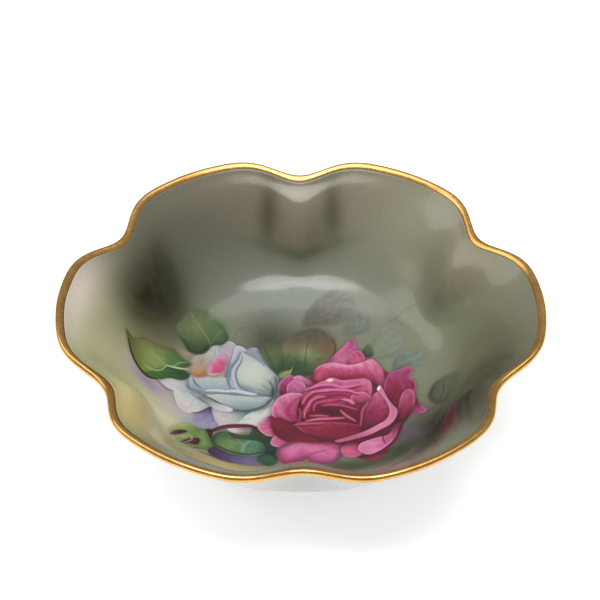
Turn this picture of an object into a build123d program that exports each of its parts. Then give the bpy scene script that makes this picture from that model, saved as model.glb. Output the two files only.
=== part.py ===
from build123d import *
import math
import os

# Six-lobed porcelain serving bowl, painted inside and gilded along the rim.
# Millimetres, +Z up, the origin in the middle of the foot's ground face.
# A lobe points along +X, and a flute, the groove between two lobes, along +Y and -Y.

# ---- driving dimensions -------------------------------------------------
LOBES = 6
RIM_WAVES = (0.0485, -0.0206, 0.005)   # the rim outline's first three waves over its mean
FOOT_RADIUS = 67.4           # outer radius of the foot ring where it stands
FOOT_WIDTH = 5.2             # width of the ground face that it stands on
FOOT_TAPER = 1.4             # how far the ring leans in from its ground face to its top
FOOT_HEIGHT = 7.6            # from the table to the underside of the bowl
FOOT_ROUNDING = 1.2          # rounded edges of the ground face
GROUND_THICKNESS = 0.25      # fired ground colour inside, and the gold over the lip
FLOWER_THICKNESS = 0.25      # flower enamel on top of the ground colour
STEPS_ROUND = 96             # points that carry each closed section
PRISM_HEIGHT = 90.0          # taller than the bowl, to cut flower outlines right through

# Wall outlines as (radius, height): up the outside, over the lip and down the inside,
# in a cut through the middle of a lobe and in a cut through the middle of a flute.
OUTSIDE_LOBE = [(66.0, 7.6), (75.2, 12.8), (85.1, 20.5), (93.4, 29.3), (102.0, 41.2),
                (111.0, 54.0), (118.6, 62.9), (124.5, 68.4)]
OUTSIDE_FLUTE = [(66.0, 7.6), (74.5, 12.6), (83.3, 19.5), (88.7, 27.7), (92.2, 38.2),
                 (96.3, 49.2), (103.0, 58.6), (111.3, 64.2)]
LIP_LOBE = [(124.5, 68.4), (126.4, 70.3), (127.5, 72.2), (126.6, 73.6), (124.7, 73.3),
            (123.8, 72.6), (123.0, 71.8)]
LIP_FLUTE = [(111.3, 64.2), (113.2, 66.0), (114.3, 67.9), (113.4, 69.4), (111.5, 69.1),
             (110.5, 68.4), (109.6, 67.6)]
INSIDE_LOBE = [(123.0, 71.8), (121.1, 70.0), (115.4, 65.0), (108.2, 57.0), (98.7, 43.6),
               (90.1, 31.8), (82.4, 23.8), (73.5, 18.1), (61.0, 14.2), (45.0, 12.2)]
INSIDE_FLUTE = [(109.6, 67.6), (107.6, 65.8), (100.6, 61.0), (93.0, 51.5), (88.4, 39.9),
                (85.0, 29.4), (80.4, 22.7), (72.6, 18.0), (61.0, 14.2), (45.0, 12.2)]

# Enamel outlines of the bouquet seen from above, (x, y).
PINK_ROSE = [(28, 35), (16, 26), (10, 10), (-4, 9), (-12, -6), (-20, -26), (-14, -40),
             (-12, -56), (4, -61), (20, -57), (40, -56), (56, -39), (66, -26), (62, -6),
             (57, 10), (47, 10), (42, 22)]
WHITE_ROSE = [(-42, 33), (-28, 28), (-18, 12), (-14, -4), (-19, -17), (-27, -30), (-48, -30),
              (-58, -24), (-69, -13), (-68, -3), (-61, 8), (-58, 24)]
ROSE_LEAF = [(-74, 3), (-72, 13), (-80, 19), (-95, 18), (-97, 6), (-86, -3)]
ROSE_BUDS = [(-24, -37), (-42, -37), (-50, -43), (-64, -38), (-73, -46), (-68, -56),
             (-52, -55), (-44, -51), (-30, -55), (-20, -51)]


def rim_wave(angle):
    """Rim outline over its mean radius: three cosine waves that repeat at each lobe."""
    waves = enumerate(RIM_WAVES, start=1)
    return sum(size * math.cos(k * LOBES * angle) for k, size in waves)


def flute_share(angle):
    """0 in the middle of a lobe and 1 in the middle of a flute."""
    lobe = rim_wave(0.0)
    flute = rim_wave(math.pi / LOBES)
    return (lobe - rim_wave(angle)) / (lobe - flute)


def section(lobe_point, flute_point):
    """Closed curve round the bowl that swings between a lobe's point and a flute's point."""
    points = []
    for step in range(STEPS_ROUND):
        angle = 2 * math.pi * step / STEPS_ROUND
        share = flute_share(angle)
        radius = lobe_point[0] + share * (flute_point[0] - lobe_point[0])
        height = lobe_point[1] + share * (flute_point[1] - lobe_point[1])
        points.append((radius * math.cos(angle), radius * math.sin(angle), height))
    return Wire([Edge.make_spline(points, periodic=True)])


def raised(points, distance):
    """An outline's points moved square to it, off the porcelain and towards the air."""
    moved = []
    last = len(points) - 1
    for i, (radius, height) in enumerate(points):
        before = points[max(i - 1, 0)]
        after = points[min(i + 1, last)]
        run = after[0] - before[0]
        rise = after[1] - before[1]
        length = math.hypot(run, rise)
        moved.append((radius + rise / length * distance, height - run / length * distance))
    return moved


class Surface:
    """The bowl's outside, lip and inside surfaces, raised off the porcelain by a distance."""

    def __init__(self, distance):
        lobe = raised(OUTSIDE_LOBE + LIP_LOBE[1:] + INSIDE_LOBE[1:], distance)
        flute = raised(OUTSIDE_FLUTE + LIP_FLUTE[1:] + INSIDE_FLUTE[1:], distance)
        wires = [section(a, b) for a, b in zip(lobe, flute)]
        lip_start = len(OUTSIDE_LOBE) - 1
        lip_end = lip_start + len(LIP_LOBE) - 1
        self.bottom_edge = wires[0]
        self.outer_gold_edge = wires[lip_start]
        self.inner_gold_edge = wires[lip_end]
        self.floor_edge = wires[-1]
        self.outside = Shell.make_loft(wires[: lip_start + 1]).faces()
        self.lip = Shell.make_loft(wires[lip_start : lip_end + 1]).faces()
        self.inside = Shell.make_loft(wires[lip_end:]).faces()


def joining_strip(first_edge, second_edge):
    """The narrow faces between an edge on one surface and the same edge on the next."""
    return Shell.make_loft([first_edge, second_edge], ruled=True).faces()


def closed(*face_groups):
    """One solid from the faces that enclose it."""
    faces = [face for group in face_groups for face in group]
    return Solid(Shell(faces))


def make_bowl_body(clay):
    """The pressed porcelain shell: outside wall, lip, inside wall, floor and underside."""
    underside = [Face(clay.bottom_edge)]
    floor = [Face(clay.floor_edge)]
    return closed(underside, clay.outside, clay.lip, clay.inside, floor)


def make_foot_ring():
    """The ring under the bowl, with a flat ground face and rounded edges."""
    outer = FOOT_RADIUS
    inner = FOOT_RADIUS - FOOT_WIDTH
    corners = [
        (inner, 0),
        (outer, 0),
        (outer - FOOT_TAPER, FOOT_HEIGHT),
        (inner - FOOT_TAPER, FOOT_HEIGHT),
    ]
    profile = make_face(Plane.XZ * Polyline(*corners, close=True))
    standing_corners = profile.vertices().group_by(Axis.Z)[0]
    return revolve(fillet(standing_corners, FOOT_ROUNDING), Axis.Z)


def make_gilt_rim_band(clay, coat):
    """The gold that wraps the lip from the outside wall to the inside wall."""
    outer_end = joining_strip(clay.outer_gold_edge, coat.outer_gold_edge)
    inner_end = joining_strip(clay.inner_gold_edge, coat.inner_gold_edge)
    return closed(clay.lip, coat.lip, outer_end, inner_end)


def make_inside_coat(below, above):
    """A coat over the whole inside, from the gold's edge down and across the floor."""
    upper_end = joining_strip(below.inner_gold_edge, above.inner_gold_edge)
    floors = [Face(below.floor_edge), Face(above.floor_edge)]
    return closed(below.inside, above.inside, upper_end, floors)


def make_flower(coat, outline):
    """The part of the enamel coat that lies inside one outline of the bouquet."""
    edge = Spline(*outline, periodic=True)
    prism = extrude(make_face(edge), PRISM_HEIGHT)
    return coat & prism


def main():
    clay = Surface(0.0)
    ground = Surface(GROUND_THICKNESS)
    enamel = Surface(GROUND_THICKNESS + FLOWER_THICKNESS)
    flower_coat = make_inside_coat(ground, enamel)
    nodes = {
        "bowl_body": make_bowl_body(clay),
        "foot_ring": make_foot_ring(),
        "gilt_rim_band": make_gilt_rim_band(clay, ground),
        "painted_ground": make_inside_coat(clay, ground),
        "pink_rose": make_flower(flower_coat, PINK_ROSE),
        "white_rose": make_flower(flower_coat, WHITE_ROSE),
        "rose_leaf": make_flower(flower_coat, ROSE_LEAF),
        "rose_buds": make_flower(flower_coat, ROSE_BUDS),
    }
    os.makedirs("parts", exist_ok=True)
    for name, solid in nodes.items():
        export_step(solid, f"parts/{name}.step")


main()
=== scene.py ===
# %% [markdown]
# A porcelain serving bowl, pressed in one piece with six lobes, fired, painted with two roses in soft
# enamels over a washed ground, and gilded along the lip. This lesson builds the look of it round a frame
# that is already solid and measured: the packed model. The frame stays as it is. Each of its eight solids
# gets one finer surface that stands for it, in metres and in the same place.

import bpy
import numpy as np
from mathutils import Euler, Matrix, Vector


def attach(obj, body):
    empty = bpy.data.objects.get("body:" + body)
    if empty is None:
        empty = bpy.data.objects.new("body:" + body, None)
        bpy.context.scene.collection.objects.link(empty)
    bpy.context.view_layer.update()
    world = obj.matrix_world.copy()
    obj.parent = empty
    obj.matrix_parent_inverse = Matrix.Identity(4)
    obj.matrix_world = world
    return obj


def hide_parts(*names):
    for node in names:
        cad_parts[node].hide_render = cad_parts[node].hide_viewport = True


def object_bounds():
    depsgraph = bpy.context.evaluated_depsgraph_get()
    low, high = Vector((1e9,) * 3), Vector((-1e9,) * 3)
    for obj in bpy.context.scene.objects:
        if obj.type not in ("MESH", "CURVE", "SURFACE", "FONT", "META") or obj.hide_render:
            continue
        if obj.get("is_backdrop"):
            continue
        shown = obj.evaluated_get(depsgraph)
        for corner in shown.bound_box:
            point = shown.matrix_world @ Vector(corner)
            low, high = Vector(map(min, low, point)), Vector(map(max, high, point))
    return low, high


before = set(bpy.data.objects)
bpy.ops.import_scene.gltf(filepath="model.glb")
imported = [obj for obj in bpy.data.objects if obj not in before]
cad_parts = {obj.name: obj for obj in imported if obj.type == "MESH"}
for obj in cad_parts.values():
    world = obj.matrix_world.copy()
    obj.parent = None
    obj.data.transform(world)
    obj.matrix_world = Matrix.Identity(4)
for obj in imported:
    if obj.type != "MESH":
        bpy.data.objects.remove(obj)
frame_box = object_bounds()
MM = 0.001
print("solids in the frame:", ", ".join(sorted(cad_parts)))

# %% [markdown]
# The wall is one sheet of clay that runs up the outside, over the lip and down the inside. Two cuts
# describe it: one through the middle of a lobe and one through the middle of a flute, the groove between
# two lobes. A lathe can't make this shape and neither can a stretched cylinder, because lobe and flute lean
# differently at each height. So each ring of the bowl swings smoothly between the two cuts, as the mould of
# a real press does.

# %% The two cuts
LOBES = 6
RIM_WAVES = (0.0485, -0.0206, 0.005)
OUTSIDE_LOBE = [(66.0, 7.6), (75.2, 12.8), (85.1, 20.5), (93.4, 29.3), (102.0, 41.2), (111.0, 54.0),
                (118.6, 62.9), (124.5, 68.4)]
OUTSIDE_FLUTE = [(66.0, 7.6), (74.5, 12.6), (83.3, 19.5), (88.7, 27.7), (92.2, 38.2), (96.3, 49.2),
                 (103.0, 58.6), (111.3, 64.2)]
LIP_LOBE = [(126.4, 70.3), (127.5, 72.2), (126.6, 73.6), (124.7, 73.3), (123.8, 72.6), (123.0, 71.8),
            (121.1, 70.0)]
LIP_FLUTE = [(113.2, 66.0), (114.3, 67.9), (113.4, 69.4), (111.5, 69.1), (110.5, 68.4), (109.6, 67.6),
             (107.6, 65.8)]
INSIDE_LOBE = [(115.4, 65.0), (108.2, 57.0), (98.7, 43.6), (90.1, 31.8), (82.4, 23.8), (73.5, 18.1)]
INSIDE_FLUTE = [(100.6, 61.0), (93.0, 51.5), (88.4, 39.9), (85.0, 29.4), (80.4, 22.7), (72.6, 18.0)]
FLOOR = [(61.0, 14.2), (45.0, 12.2), (25.0, 11.6), (0.0, 11.4)]
FLOOR_HEIGHT = FLOOR[-1][1]


class Outline:
    """A natural cubic spline through (radius, height) points, run by the chord length between them."""

    def __init__(self, points):
        self.points = np.array(points, float)
        steps = np.diff(self.points, axis=0)
        gaps = np.hypot(*steps.T)
        self.chord = np.concatenate([[0.0], np.cumsum(gaps)])
        count = len(points)
        inner = np.arange(1, count - 1)
        system = np.eye(count)
        system[inner, inner - 1] = gaps[:-1]
        system[inner, inner] = 2 * (gaps[:-1] + gaps[1:])
        system[inner, inner + 1] = gaps[1:]
        wanted = np.zeros((count, 2))
        wanted[inner] = 6 * np.diff(steps / gaps[:, None], axis=0)
        self.bend = np.linalg.solve(system, wanted)

    def at(self, chord):
        """Each span blends its two points, plus a cubic in each end's bend."""
        span = np.clip(np.searchsorted(self.chord, chord, side="right") - 1, 0, len(self.chord) - 2)
        gap = self.chord[span + 1] - self.chord[span]
        b = ((chord - self.chord[span]) / gap)[..., None]
        a = 1 - b
        cubic = (a**3 - a) * self.bend[span] + (b**3 - b) * self.bend[span + 1]
        return a * self.points[span] + b * self.points[span + 1] + cubic * (gap**2)[..., None] / 6


LOBE_CUT = Outline(OUTSIDE_LOBE + LIP_LOBE + INSIDE_LOBE + FLOOR)
FLUTE_CUT = Outline(OUTSIDE_FLUTE + LIP_FLUTE + INSIDE_FLUTE + FLOOR)
KNOTS = [0, len(OUTSIDE_LOBE) - 1, len(OUTSIDE_LOBE) + len(LIP_LOBE) - 1, len(LOBE_CUT.chord) - 1]
OUTER_GOLD_EDGE, INNER_GOLD_EDGE, PAINTING_EDGE, FLOOR_CENTRE = 1.0, 1.83, 2.0, 3.0


def flute_share(angle):
    """0 in the middle of a lobe, 1 in the middle of a flute: how far three cosine waves have fallen."""
    def wave(at):
        return sum(size * np.cos((k + 1) * LOBES * at) for k, size in enumerate(RIM_WAVES))
    return (wave(0.0) - wave(angle)) / (wave(0.0) - wave(np.pi / LOBES))


def wall(along, angle):
    """Points of the porcelain in millimetres: lobe cut plus the flute share of the step to the flute cut,
    swung round to the angle. Along runs 0 to 1 up the outside, to 2 over the lip, and to 3 at the floor's
    middle."""
    stations = np.arange(4.0)
    lobe = LOBE_CUT.at(np.interp(along, stations, LOBE_CUT.chord[KNOTS]))
    flute = FLUTE_CUT.at(np.interp(along, stations, FLUTE_CUT.chord[KNOTS]))
    radius, height = np.moveaxis(lobe + flute_share(angle)[..., None] * (flute - lobe), -1, 0)
    return np.stack([radius * np.cos(angle), radius * np.sin(angle), height], axis=-1)


def raised(along, angle, lift):
    """The same points moved square to the surface by a lift in millimetres: the normal is the cross product
    of the steps round and along, and straight up at the very middle of the floor, where the step round is
    nothing."""
    small = 1e-4
    ahead = np.minimum(along + small, FLOOR_CENTRE)
    behind = np.maximum(along - small, 0)
    step_along = wall(ahead, angle) - wall(behind, angle)
    step_round = wall(along, angle + small) - wall(along, angle - small)
    normal = np.cross(step_round, step_along)
    normal[along > FLOOR_CENTRE - 1e-3] = (0.0, 0.0, 1.0)
    normal /= np.maximum(np.linalg.norm(normal, axis=-1, keepdims=True), 1e-12)
    return wall(along, angle) + normal * np.asarray(lift)[..., None]


inside_run = wall(np.linspace(PAINTING_EDGE, FLOOR_CENTRE, 400), np.zeros(400))
INSIDE_LENGTH = np.linalg.norm(np.diff(inside_run, axis=0), axis=1).sum()
print(f"glaze from the middle of the floor to just below the gold: {INSIDE_LENGTH:.1f} mm in a lobe")

# %% [markdown]
# Every mark of the decorator is a function of a place on the painting. The painting is thought of as laid
# out flat: u and v are millimetres from the middle of the floor, measured along the glaze, so a mark keeps
# its size where it climbs the wall. An image texture would be the usual way to carry such a picture. Here
# the marks are worked out as numbers for all vertices at once and kept as a colour attribute, so that the
# bowl needs no file beside it and every petal can be moved by its own few points.

# %% Places and soft steps
def soft_step(low, high, value):
    """0 below low, 1 above high, and a smooth S between them."""
    share = np.clip((value - low) / (high - low), 0.0, 1.0)
    return share * share * (3.0 - 2.0 * share)


def smooth_line(points, per_span, loop):
    """Catmull-Rom curve: each span is the cubic that runs through its two points and heads for the next."""
    p = np.asarray(points, float)
    if not loop:
        p = np.vstack([2 * p[0] - p[1], p, 2 * p[-1] - p[-2]])
    spans = len(p) if loop else len(p) - 3
    ends = [np.roll(p, 1 - k, axis=0) if loop else p[k : k + spans] for k in range(4)]
    t = np.arange(per_span)[None, :, None] / per_span
    before, here, there, after = (q[:, None, :] for q in ends)
    curve = 0.5 * (
        2 * here
        + (there - before) * t
        + (2 * before - 5 * here + 4 * there - after) * t**2
        + (3 * here - before - 3 * there + after) * t**3
    )
    curve = curve.reshape(-1, 2)
    return curve if loop else np.vstack([curve, p[-2]])


def distance_to_line(u, v, line):
    """Distance from each place to the nearest piece of a line, and how far along that is, 0 to 1."""
    start, step = line[:-1], np.diff(line, axis=0)
    length2 = np.maximum((step**2).sum(1), 1e-12)
    du = u[:, None] - start[None, :, 0]
    dv = v[:, None] - start[None, :, 1]
    share = np.clip((du * step[:, 0] + dv * step[:, 1]) / length2, 0.0, 1.0)
    away = np.hypot(du - share * step[:, 0], dv - share * step[:, 1])
    nearest = away.argmin(axis=1)
    rows = np.arange(len(u))
    return away[rows, nearest], (nearest + share[rows, nearest]) / len(step)


def depth_inside(u, v, outline):
    """Distance to a closed outline, positive inside it, where a ray crosses it an odd number of times."""
    ring = np.vstack([outline, outline[:1]])
    away, _ = distance_to_line(u, v, ring)
    (ua, va), (ub, vb) = ring[:-1].T, ring[1:].T
    straddles = (va[None] > v[:, None]) != (vb[None] > v[:, None])
    crossing = ua + (v[:, None] - va) * (ub - ua) / np.where(vb == va, 1e-9, vb - va)
    odd = (straddles & (u[:, None] < crossing)).sum(axis=1) % 2 == 1
    return np.where(odd, away, -away)


square = smooth_line([(0, 0), (10, 0), (10, 10), (0, 10)], 8, True)
middle = np.array([5.0])
print("depth inside a rounded 10 mm square:", depth_inside(middle, middle, square).round(2))

# %% [markdown]
# A decorator has few marks: a cloud dabbed with a soft brush, a line drawn with a pointed one, and a petal
# or leaf wiped out and shaded from its root to its tip. Each mark works out how much it covers every place
# and mixes its colour over what lies there. Mixing in screen colours, 0 to 255, keeps the numbers close to
# a paint box.

# %% The brush marks
class Painting:
    """Colours, 0 to 255, at the places (u, v), built up mark by mark from back to front."""

    def __init__(self, u, v, colour):
        self.u = u
        self.v = v
        self.colour = np.tile(np.asarray(colour, float), (len(u), 1))
        self.shadow_colour = (40, 36, 28)
        self.tone = 1.0

    def near(self, points, margin):
        """The places within a margin of the box round some points."""
        low = np.min(points, axis=0) - margin
        high = np.max(points, axis=0) + margin
        inside = (self.u > low[0]) & (self.u < high[0]) & (self.v > low[1]) & (self.v < high[1])
        return np.flatnonzero(inside)

    def lay(self, places, colour, cover):
        """Mixes a colour, as light or dark as the tone of the moment, over the picture by how much it
        covers."""
        cover = cover[:, None]
        self.colour[places] = self.colour[places] * (1 - cover) + self.tone * np.asarray(colour,
                float) * cover

    def wash(self, centre, size, colour, strength=1.0, turn=0.0):
        """A soft cloud: a turned Gaussian hill of colour."""
        reach = 2.6 * max(size)
        places = self.near([centre], reach)
        du, dv = self.u[places] - centre[0], self.v[places] - centre[1]
        c, s = np.cos(np.radians(turn)), np.sin(np.radians(turn))
        along, across = (du * c + dv * s) / size[0], (dv * c - du * s) / size[1]
        self.lay(places, colour, strength * np.exp(-(along**2 + across**2)))

    def stroke(self, points, width, colour, strength=1.0, blur=0.35, ends=0.25):
        """A brush line along a smooth path, thinner towards its ends."""
        places = self.near(points, width + 3 * blur)
        if not len(places):
            return
        away, along = distance_to_line(self.u[places], self.v[places], smooth_line(points, 8, False))
        half = 0.5 * width * (ends + (1 - ends) * np.sqrt(np.sin(np.pi * np.clip(along, 0.001, 0.999))))
        self.lay(places, colour, strength * (1 - soft_step(half - blur, half + blur, away)))

    def petal(self, outline, root, tip, colours, edge=None, edge_width=1.2, shade=0.35, blur=0.3, veins=0.08,
              shadow=0.5, edge_from=0.45):
        """A petal or leaf. Its colour runs through a list from root to tip, stirred by veins that fan out
        from the root and by small clouds, with a lighter turned edge towards the tip, darker sides below
        that, and a soft shadow round it."""
        line = smooth_line(outline, 8, True)
        places = self.near(line, 3.0)
        if not len(places):
            return
        u, v = self.u[places], self.v[places]
        depth = depth_inside(u, v, line)
        self.lay(places, self.shadow_colour, 0.75 * shadow * np.exp(-np.abs(np.minimum(depth, 0)) / 0.8))
        root, tip = np.asarray(root, float), np.asarray(tip, float)
        run = tip - root
        along = ((u - root[0]) * run[0] + (v - root[1]) * run[1]) / (run @ run)
        fan = np.arctan2(v - root[1], u - root[0])
        reach = np.hypot(u - root[0], v - root[1])
        ripple = 0.35 * np.sin(fan * 19 + 2.2 * np.sin(reach * 0.31 + root[0]))
        ripple += 0.30 * np.sin(fan * 47 + 3.1 * np.sin(reach * 0.27 + root[1]))
        stir = np.sin(0.6 * v + 1.3 * np.sin(0.4 * u))
        ripple += 0.5 * np.sin(0.55 * u + 1.9 * np.sin(0.37 * v + root[0])) * stir
        stops = np.linspace(0.0, 1.0, len(colours))
        ripple *= soft_step(2.0, 11.0, reach)
        wanted = np.clip(along + 0.05 * ripple, 0, 1)
        colour = np.stack([np.interp(wanted, stops, [c[k] for c in colours]) for k in range(3)], axis=1)
        colour *= 1 + veins * ripple[:, None]
        side = 1 - soft_step(0.0, 4.0, depth)
        colour *= 1 - shade * (side * (1 - soft_step(edge_from - 0.25, edge_from + 0.25, along)))[:, None]
        if edge is not None:
            lit = (1 - soft_step(0.35 * edge_width, 1.35 * edge_width, depth)) * soft_step(
                edge_from - 0.15, edge_from + 0.2, along)
            colour += (np.asarray(edge, float) - colour) * 0.75 * lit[:, None]
        self.lay(places, colour, soft_step(-blur, blur, depth))


print("brush marks:", ", ".join(name for name in vars(Painting) if name in ("wash", "stroke", "petal")))

# %% [markdown]
# The ground colour was laid on with a wide soft brush and patted smooth: olive and grey-green, with
# mauve-brown clouds on the far wall, and a pale pink and straw yellow side on the left that lets the
# flowers stand out. Broad Gaussian washes over one base colour give the same soft joins, and each is named
# by its place and its colour. Some washes are painted light, not the decorator's colour: painted shade on
# the flanks of the far flute and in the flutes at upper left and upper right, a painted highlight down the
# far flute's crest, and a painted reflection on the upper-right wall.

# %% The ground colour
OLIVE_GREY = (118, 120, 100)


def paint_ground_and_shade(p):
    """Washes from the far wall round to the near one, then the pale left side. Some are painted light:
    painted shade and a painted highlight in the flutes, and a painted reflection on the upper-right wall.
    """
    p.wash((-30, 128), (70, 24), (122, 106, 92), 0.75)
    p.wash((50, 128), (60, 26), (132, 124, 104), 0.7)
    p.wash((75, 100), (40, 22), (150, 150, 126), 0.7)
    p.wash((-75, 95), (45, 26), (96, 92, 78), 0.8)
    # painted shade in the upper-right flute
    p.wash((100, 48), (12, 10), (84, 88, 64), 0.7)
    # painted reflection of the light from the left on the upper-right wall
    p.wash((68, 74), (9, 12), (172, 166, 142), 0.5, 30)
    p.wash((-45, 80), (40, 20), (106, 112, 100), 0.6)
    p.wash((0, 70), (48, 22), (124, 134, 124), 0.7)
    # painted shade on the two flanks of the far flute, then a painted highlight down its crest
    p.wash((-22, 122), (6, 20), (72, 68, 50), 0.75)
    p.wash((23, 122), (6, 20), (78, 76, 56), 0.7)
    p.wash((0, 120), (9, 18), (132, 126, 110), 0.6)
    p.wash((0, 101), (30, 4), (78, 84, 62), 0.6)
    p.wash((25, 52), (50, 20), (124, 124, 112), 0.5)
    p.wash((118, 60), (30, 40), (142, 128, 104), 0.6)
    p.wash((95, 20), (34, 40), (118, 126, 102), 0.7)
    p.wash((110, -20), (30, 34), (92, 84, 62), 0.7)
    p.wash((100, -64), (38, 36), (24, 21, 10), 0.95)
    p.wash((82, -50), (18, 22), (16, 16, 6), 0.85)
    p.wash((104, -26), (20, 14), (64, 58, 40), 0.6)
    p.wash((56, -92), (40, 20), (150, 148, 132), 0.8)
    p.wash((-118, 30), (30, 40), (150, 146, 112), 0.8, -10)
    p.wash((-142, 12), (18, 60), (214, 198, 190), 0.95, -6)
    # painted shade: these four washes darken the upper-left flute, where its glaze faces away from the light
    p.wash((-106, 64), (30, 24), (54, 54, 38), 0.92)
    p.wash((-100, 42), (17, 22), (24, 22, 10), 0.95, 25)
    p.wash((-86, 52), (12, 20), (38, 38, 24), 0.55, 15)
    p.wash((-76, 54), (13, 17), (40, 40, 26), 0.5)
    p.wash((-82, 30), (14, 10), (60, 60, 44), 0.6)
    p.wash((-108, -40), (36, 60), (182, 184, 136), 0.95, -8)
    p.wash((-82, -38), (20, 26), (206, 204, 166), 0.9)
    p.wash((-96, -84), (50, 26), (196, 176, 116), 0.9)
    p.wash((-98, -50), (20, 24), (214, 212, 168), 0.85)
    p.wash((-48, -72), (20, 9), (200, 176, 110), 0.8, 10)
    p.wash((-118, -14), (20, 18), (196, 190, 150), 0.7)
    p.wash((-36, -90), (40, 24), (196, 160, 96), 0.7)
    p.wash((-90, -8), (18, 8), (196, 176, 196), 0.5, -20)


def try_layer(layer, u, v):
    """Paints one layer alone over the base colour and prints what it leaves at one place."""
    trial = Painting(np.array([u], float), np.array([v], float), OLIVE_GREY)
    layer(trial)
    print(f"{layer.__name__} at ({u}, {v}) mm:", trial.colour[0].round().astype(int))


try_layer(paint_ground_and_shade, -140, 10)

# %% [markdown]
# The pink rose is built the way it is painted: the outer petals first, each with a dark crimson root and a
# pale rolled lip, then the cup, and last the tight heart in short curved touches of the brush.

# %% The pink rose
WINE = (88, 16, 34)
CRIMSON = (114, 24, 48)
MAGENTA = (144, 42, 78)
ROSE = (166, 64, 104)
MAUVE = (172, 84, 130)
BLUSH = (194, 106, 144)
PEARL = (214, 148, 178)


def paint_pink_back(p):
    """The pointed petal at the back, its fold, and the wide petal in front of it."""
    p.petal([(15, 16), (18, 23), (23, 29), (29, 37), (31, 35), (32, 30), (36, 28), (39, 24), (38, 18),
             (27, 14)], (27, 14), (28, 37), [(180, 88, 124), (190, 98, 134), (164, 74, 118),
                                             (142, 58, 112)], (196, 110, 150), 0.8)
    p.petal([(28, 18), (29, 25), (32, 28), (36, 27), (39, 23), (37, 18), (32, 16)],
            (33, 15), (35, 27), [(172, 70, 104), (180, 82, 118), (152, 52, 86)], (204, 120, 152), 0.9)
    p.stroke([(19, 22), (24, 28), (28, 34)], 2.0, (206, 120, 152), 0.5, 1.0)
    p.stroke([(27, 29), (32, 26), (36, 21)], 1.2, (202, 112, 146), 0.6, 0.5)
    p.petal([(7, 4), (7, 9), (10, 15), (16, 18), (24, 18), (31, 17.5), (38, 20), (43, 22), (45, 17),
             (46, 8), (46, -2), (40, 0), (34, 3), (20, 3), (12, 0)], (24, 2), (26, 19),
            [CRIMSON, (140, 46, 76), (160, 60, 92), (186, 90, 128), (208, 128, 162)], PEARL, 1.2)
    p.petal([(38, 19), (42, 21.5), (45, 17), (46.5, 8), (46, -3), (43, -2), (41, 6), (39, 12)], (44, -4),
            (43, 21), [(146, 50, 84), (176, 82, 120), (202, 120, 156)], None, shade=0.2, shadow=0.35)
    p.wash((11, 9), (3, 6), (214, 84, 116), 0.6, -20)
    p.stroke([(17, 8), (24, 7), (33, 8), (37, 7)], 3.0, CRIMSON, 0.4, 1.4)
    p.stroke([(12, 14), (20, 16.6), (29, 16.4), (36, 18)], 2.0, (216, 142, 174), 0.6, 0.9)


def paint_pink_left(p):
    """The small petals that peep out on the left, and the light cup petal below them."""
    p.petal([(-12, -6), (-11.5, 2), (-9, 7), (-5, 8.5), (-2, 6), (2, 3), (5, -2), (2, -10), (-8, -10)],
            (-2, -12), (-5, 8), [WINE, (124, 38, 78), (160, 78, 124)], (186, 122, 152), 1.0)
    p.petal([(-4, 6), (-1, 8.6), (0.5, 8.4), (3, 6), (6.5, 4), (7, 1), (3, 0), (-1, 2)],
            (4, -2), (-1, 10), [MAUVE, BLUSH, (208, 150, 172)], None, shadow=0.3)
    p.petal([(-7, -8), (-7, 1), (-4, 4.5), (0, 4), (3, 0), (3, -8)],
            (0, -12), (-4, 5), [MAGENTA, (160, 80, 122), (184, 104, 148)], (200, 128, 162), 0.9)
    p.petal([(-23, -31), (-20, -26), (-16, -23), (-12, -24), (-12, -31), (-13, -37), (-17, -38), (-21, -35)],
            (-10, -28), (-23, -32), [WINE, MAGENTA, (184, 92, 130), BLUSH], PEARL, 0.9)
    p.petal([(-16, -43), (-14, -38), (-9, -37), (-3, -41), (0, -46), (-8, -47), (-14, -46)],
            (-3, -42), (-16, -42), [CRIMSON, (172, 80, 118), (184, 100, 138)], PEARL, 0.7)
    p.petal([(-15, -23), (-15, -15), (-12, -9), (-6, -5.5), (0, -6), (4, -10), (2, -18), (0, -25), (0, -33),
             (-6, -29)], (2, -30), (-12, -8), [WINE, MAGENTA, (164, 62, 102), (182, 92, 132),
                                               (206, 124, 160)], PEARL, 1.2)
    p.stroke([(0, -9), (-5, -14), (-7, -20), (-4, -28)], 2.6, (140, 40, 72), 0.6, 1.0)
    p.stroke([(-13, -12), (-11, -20), (-5, -28)], 2.2, (206, 126, 160), 0.45, 0.9)
    p.stroke([(-9, -9), (-8, -17), (-4, -25), (-1, -30)], 0.8, (150, 52, 86), 0.5, 0.5)


def paint_pink_right(p):
    """The deep petals on the right, with the violet tips."""
    p.petal([(46, -6), (47, 4), (50, 9), (55, 11), (60, 13), (62, 9), (60.5, 4), (63.5, -1), (62, -10),
             (60, -24), (54, -32), (50, -20)], (50, -30), (58, 12),
            [WINE, WINE, CRIMSON, (134, 44, 78), (150, 64, 104)], (176, 96, 138), 0.8)
    p.petal([(61, -12), (63, -13), (65, -18), (70, -25), (67, -26.5), (62, -25), (60, -20)],
            (58, -20), (70, -26), [CRIMSON, (146, 52, 98), (160, 64, 122)], (186, 110, 152), 0.6)
    p.petal([(54, -16), (55, -9), (58, -5), (61.5, -6), (62.5, -12), (62, -20), (61.5, -28), (59, -33),
             (55, -30)], (58, -32), (58, -5), [WINE, (124, 34, 62), (148, 56, 88), (168, 84, 120)],
            (184, 104, 138), 0.8)


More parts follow.
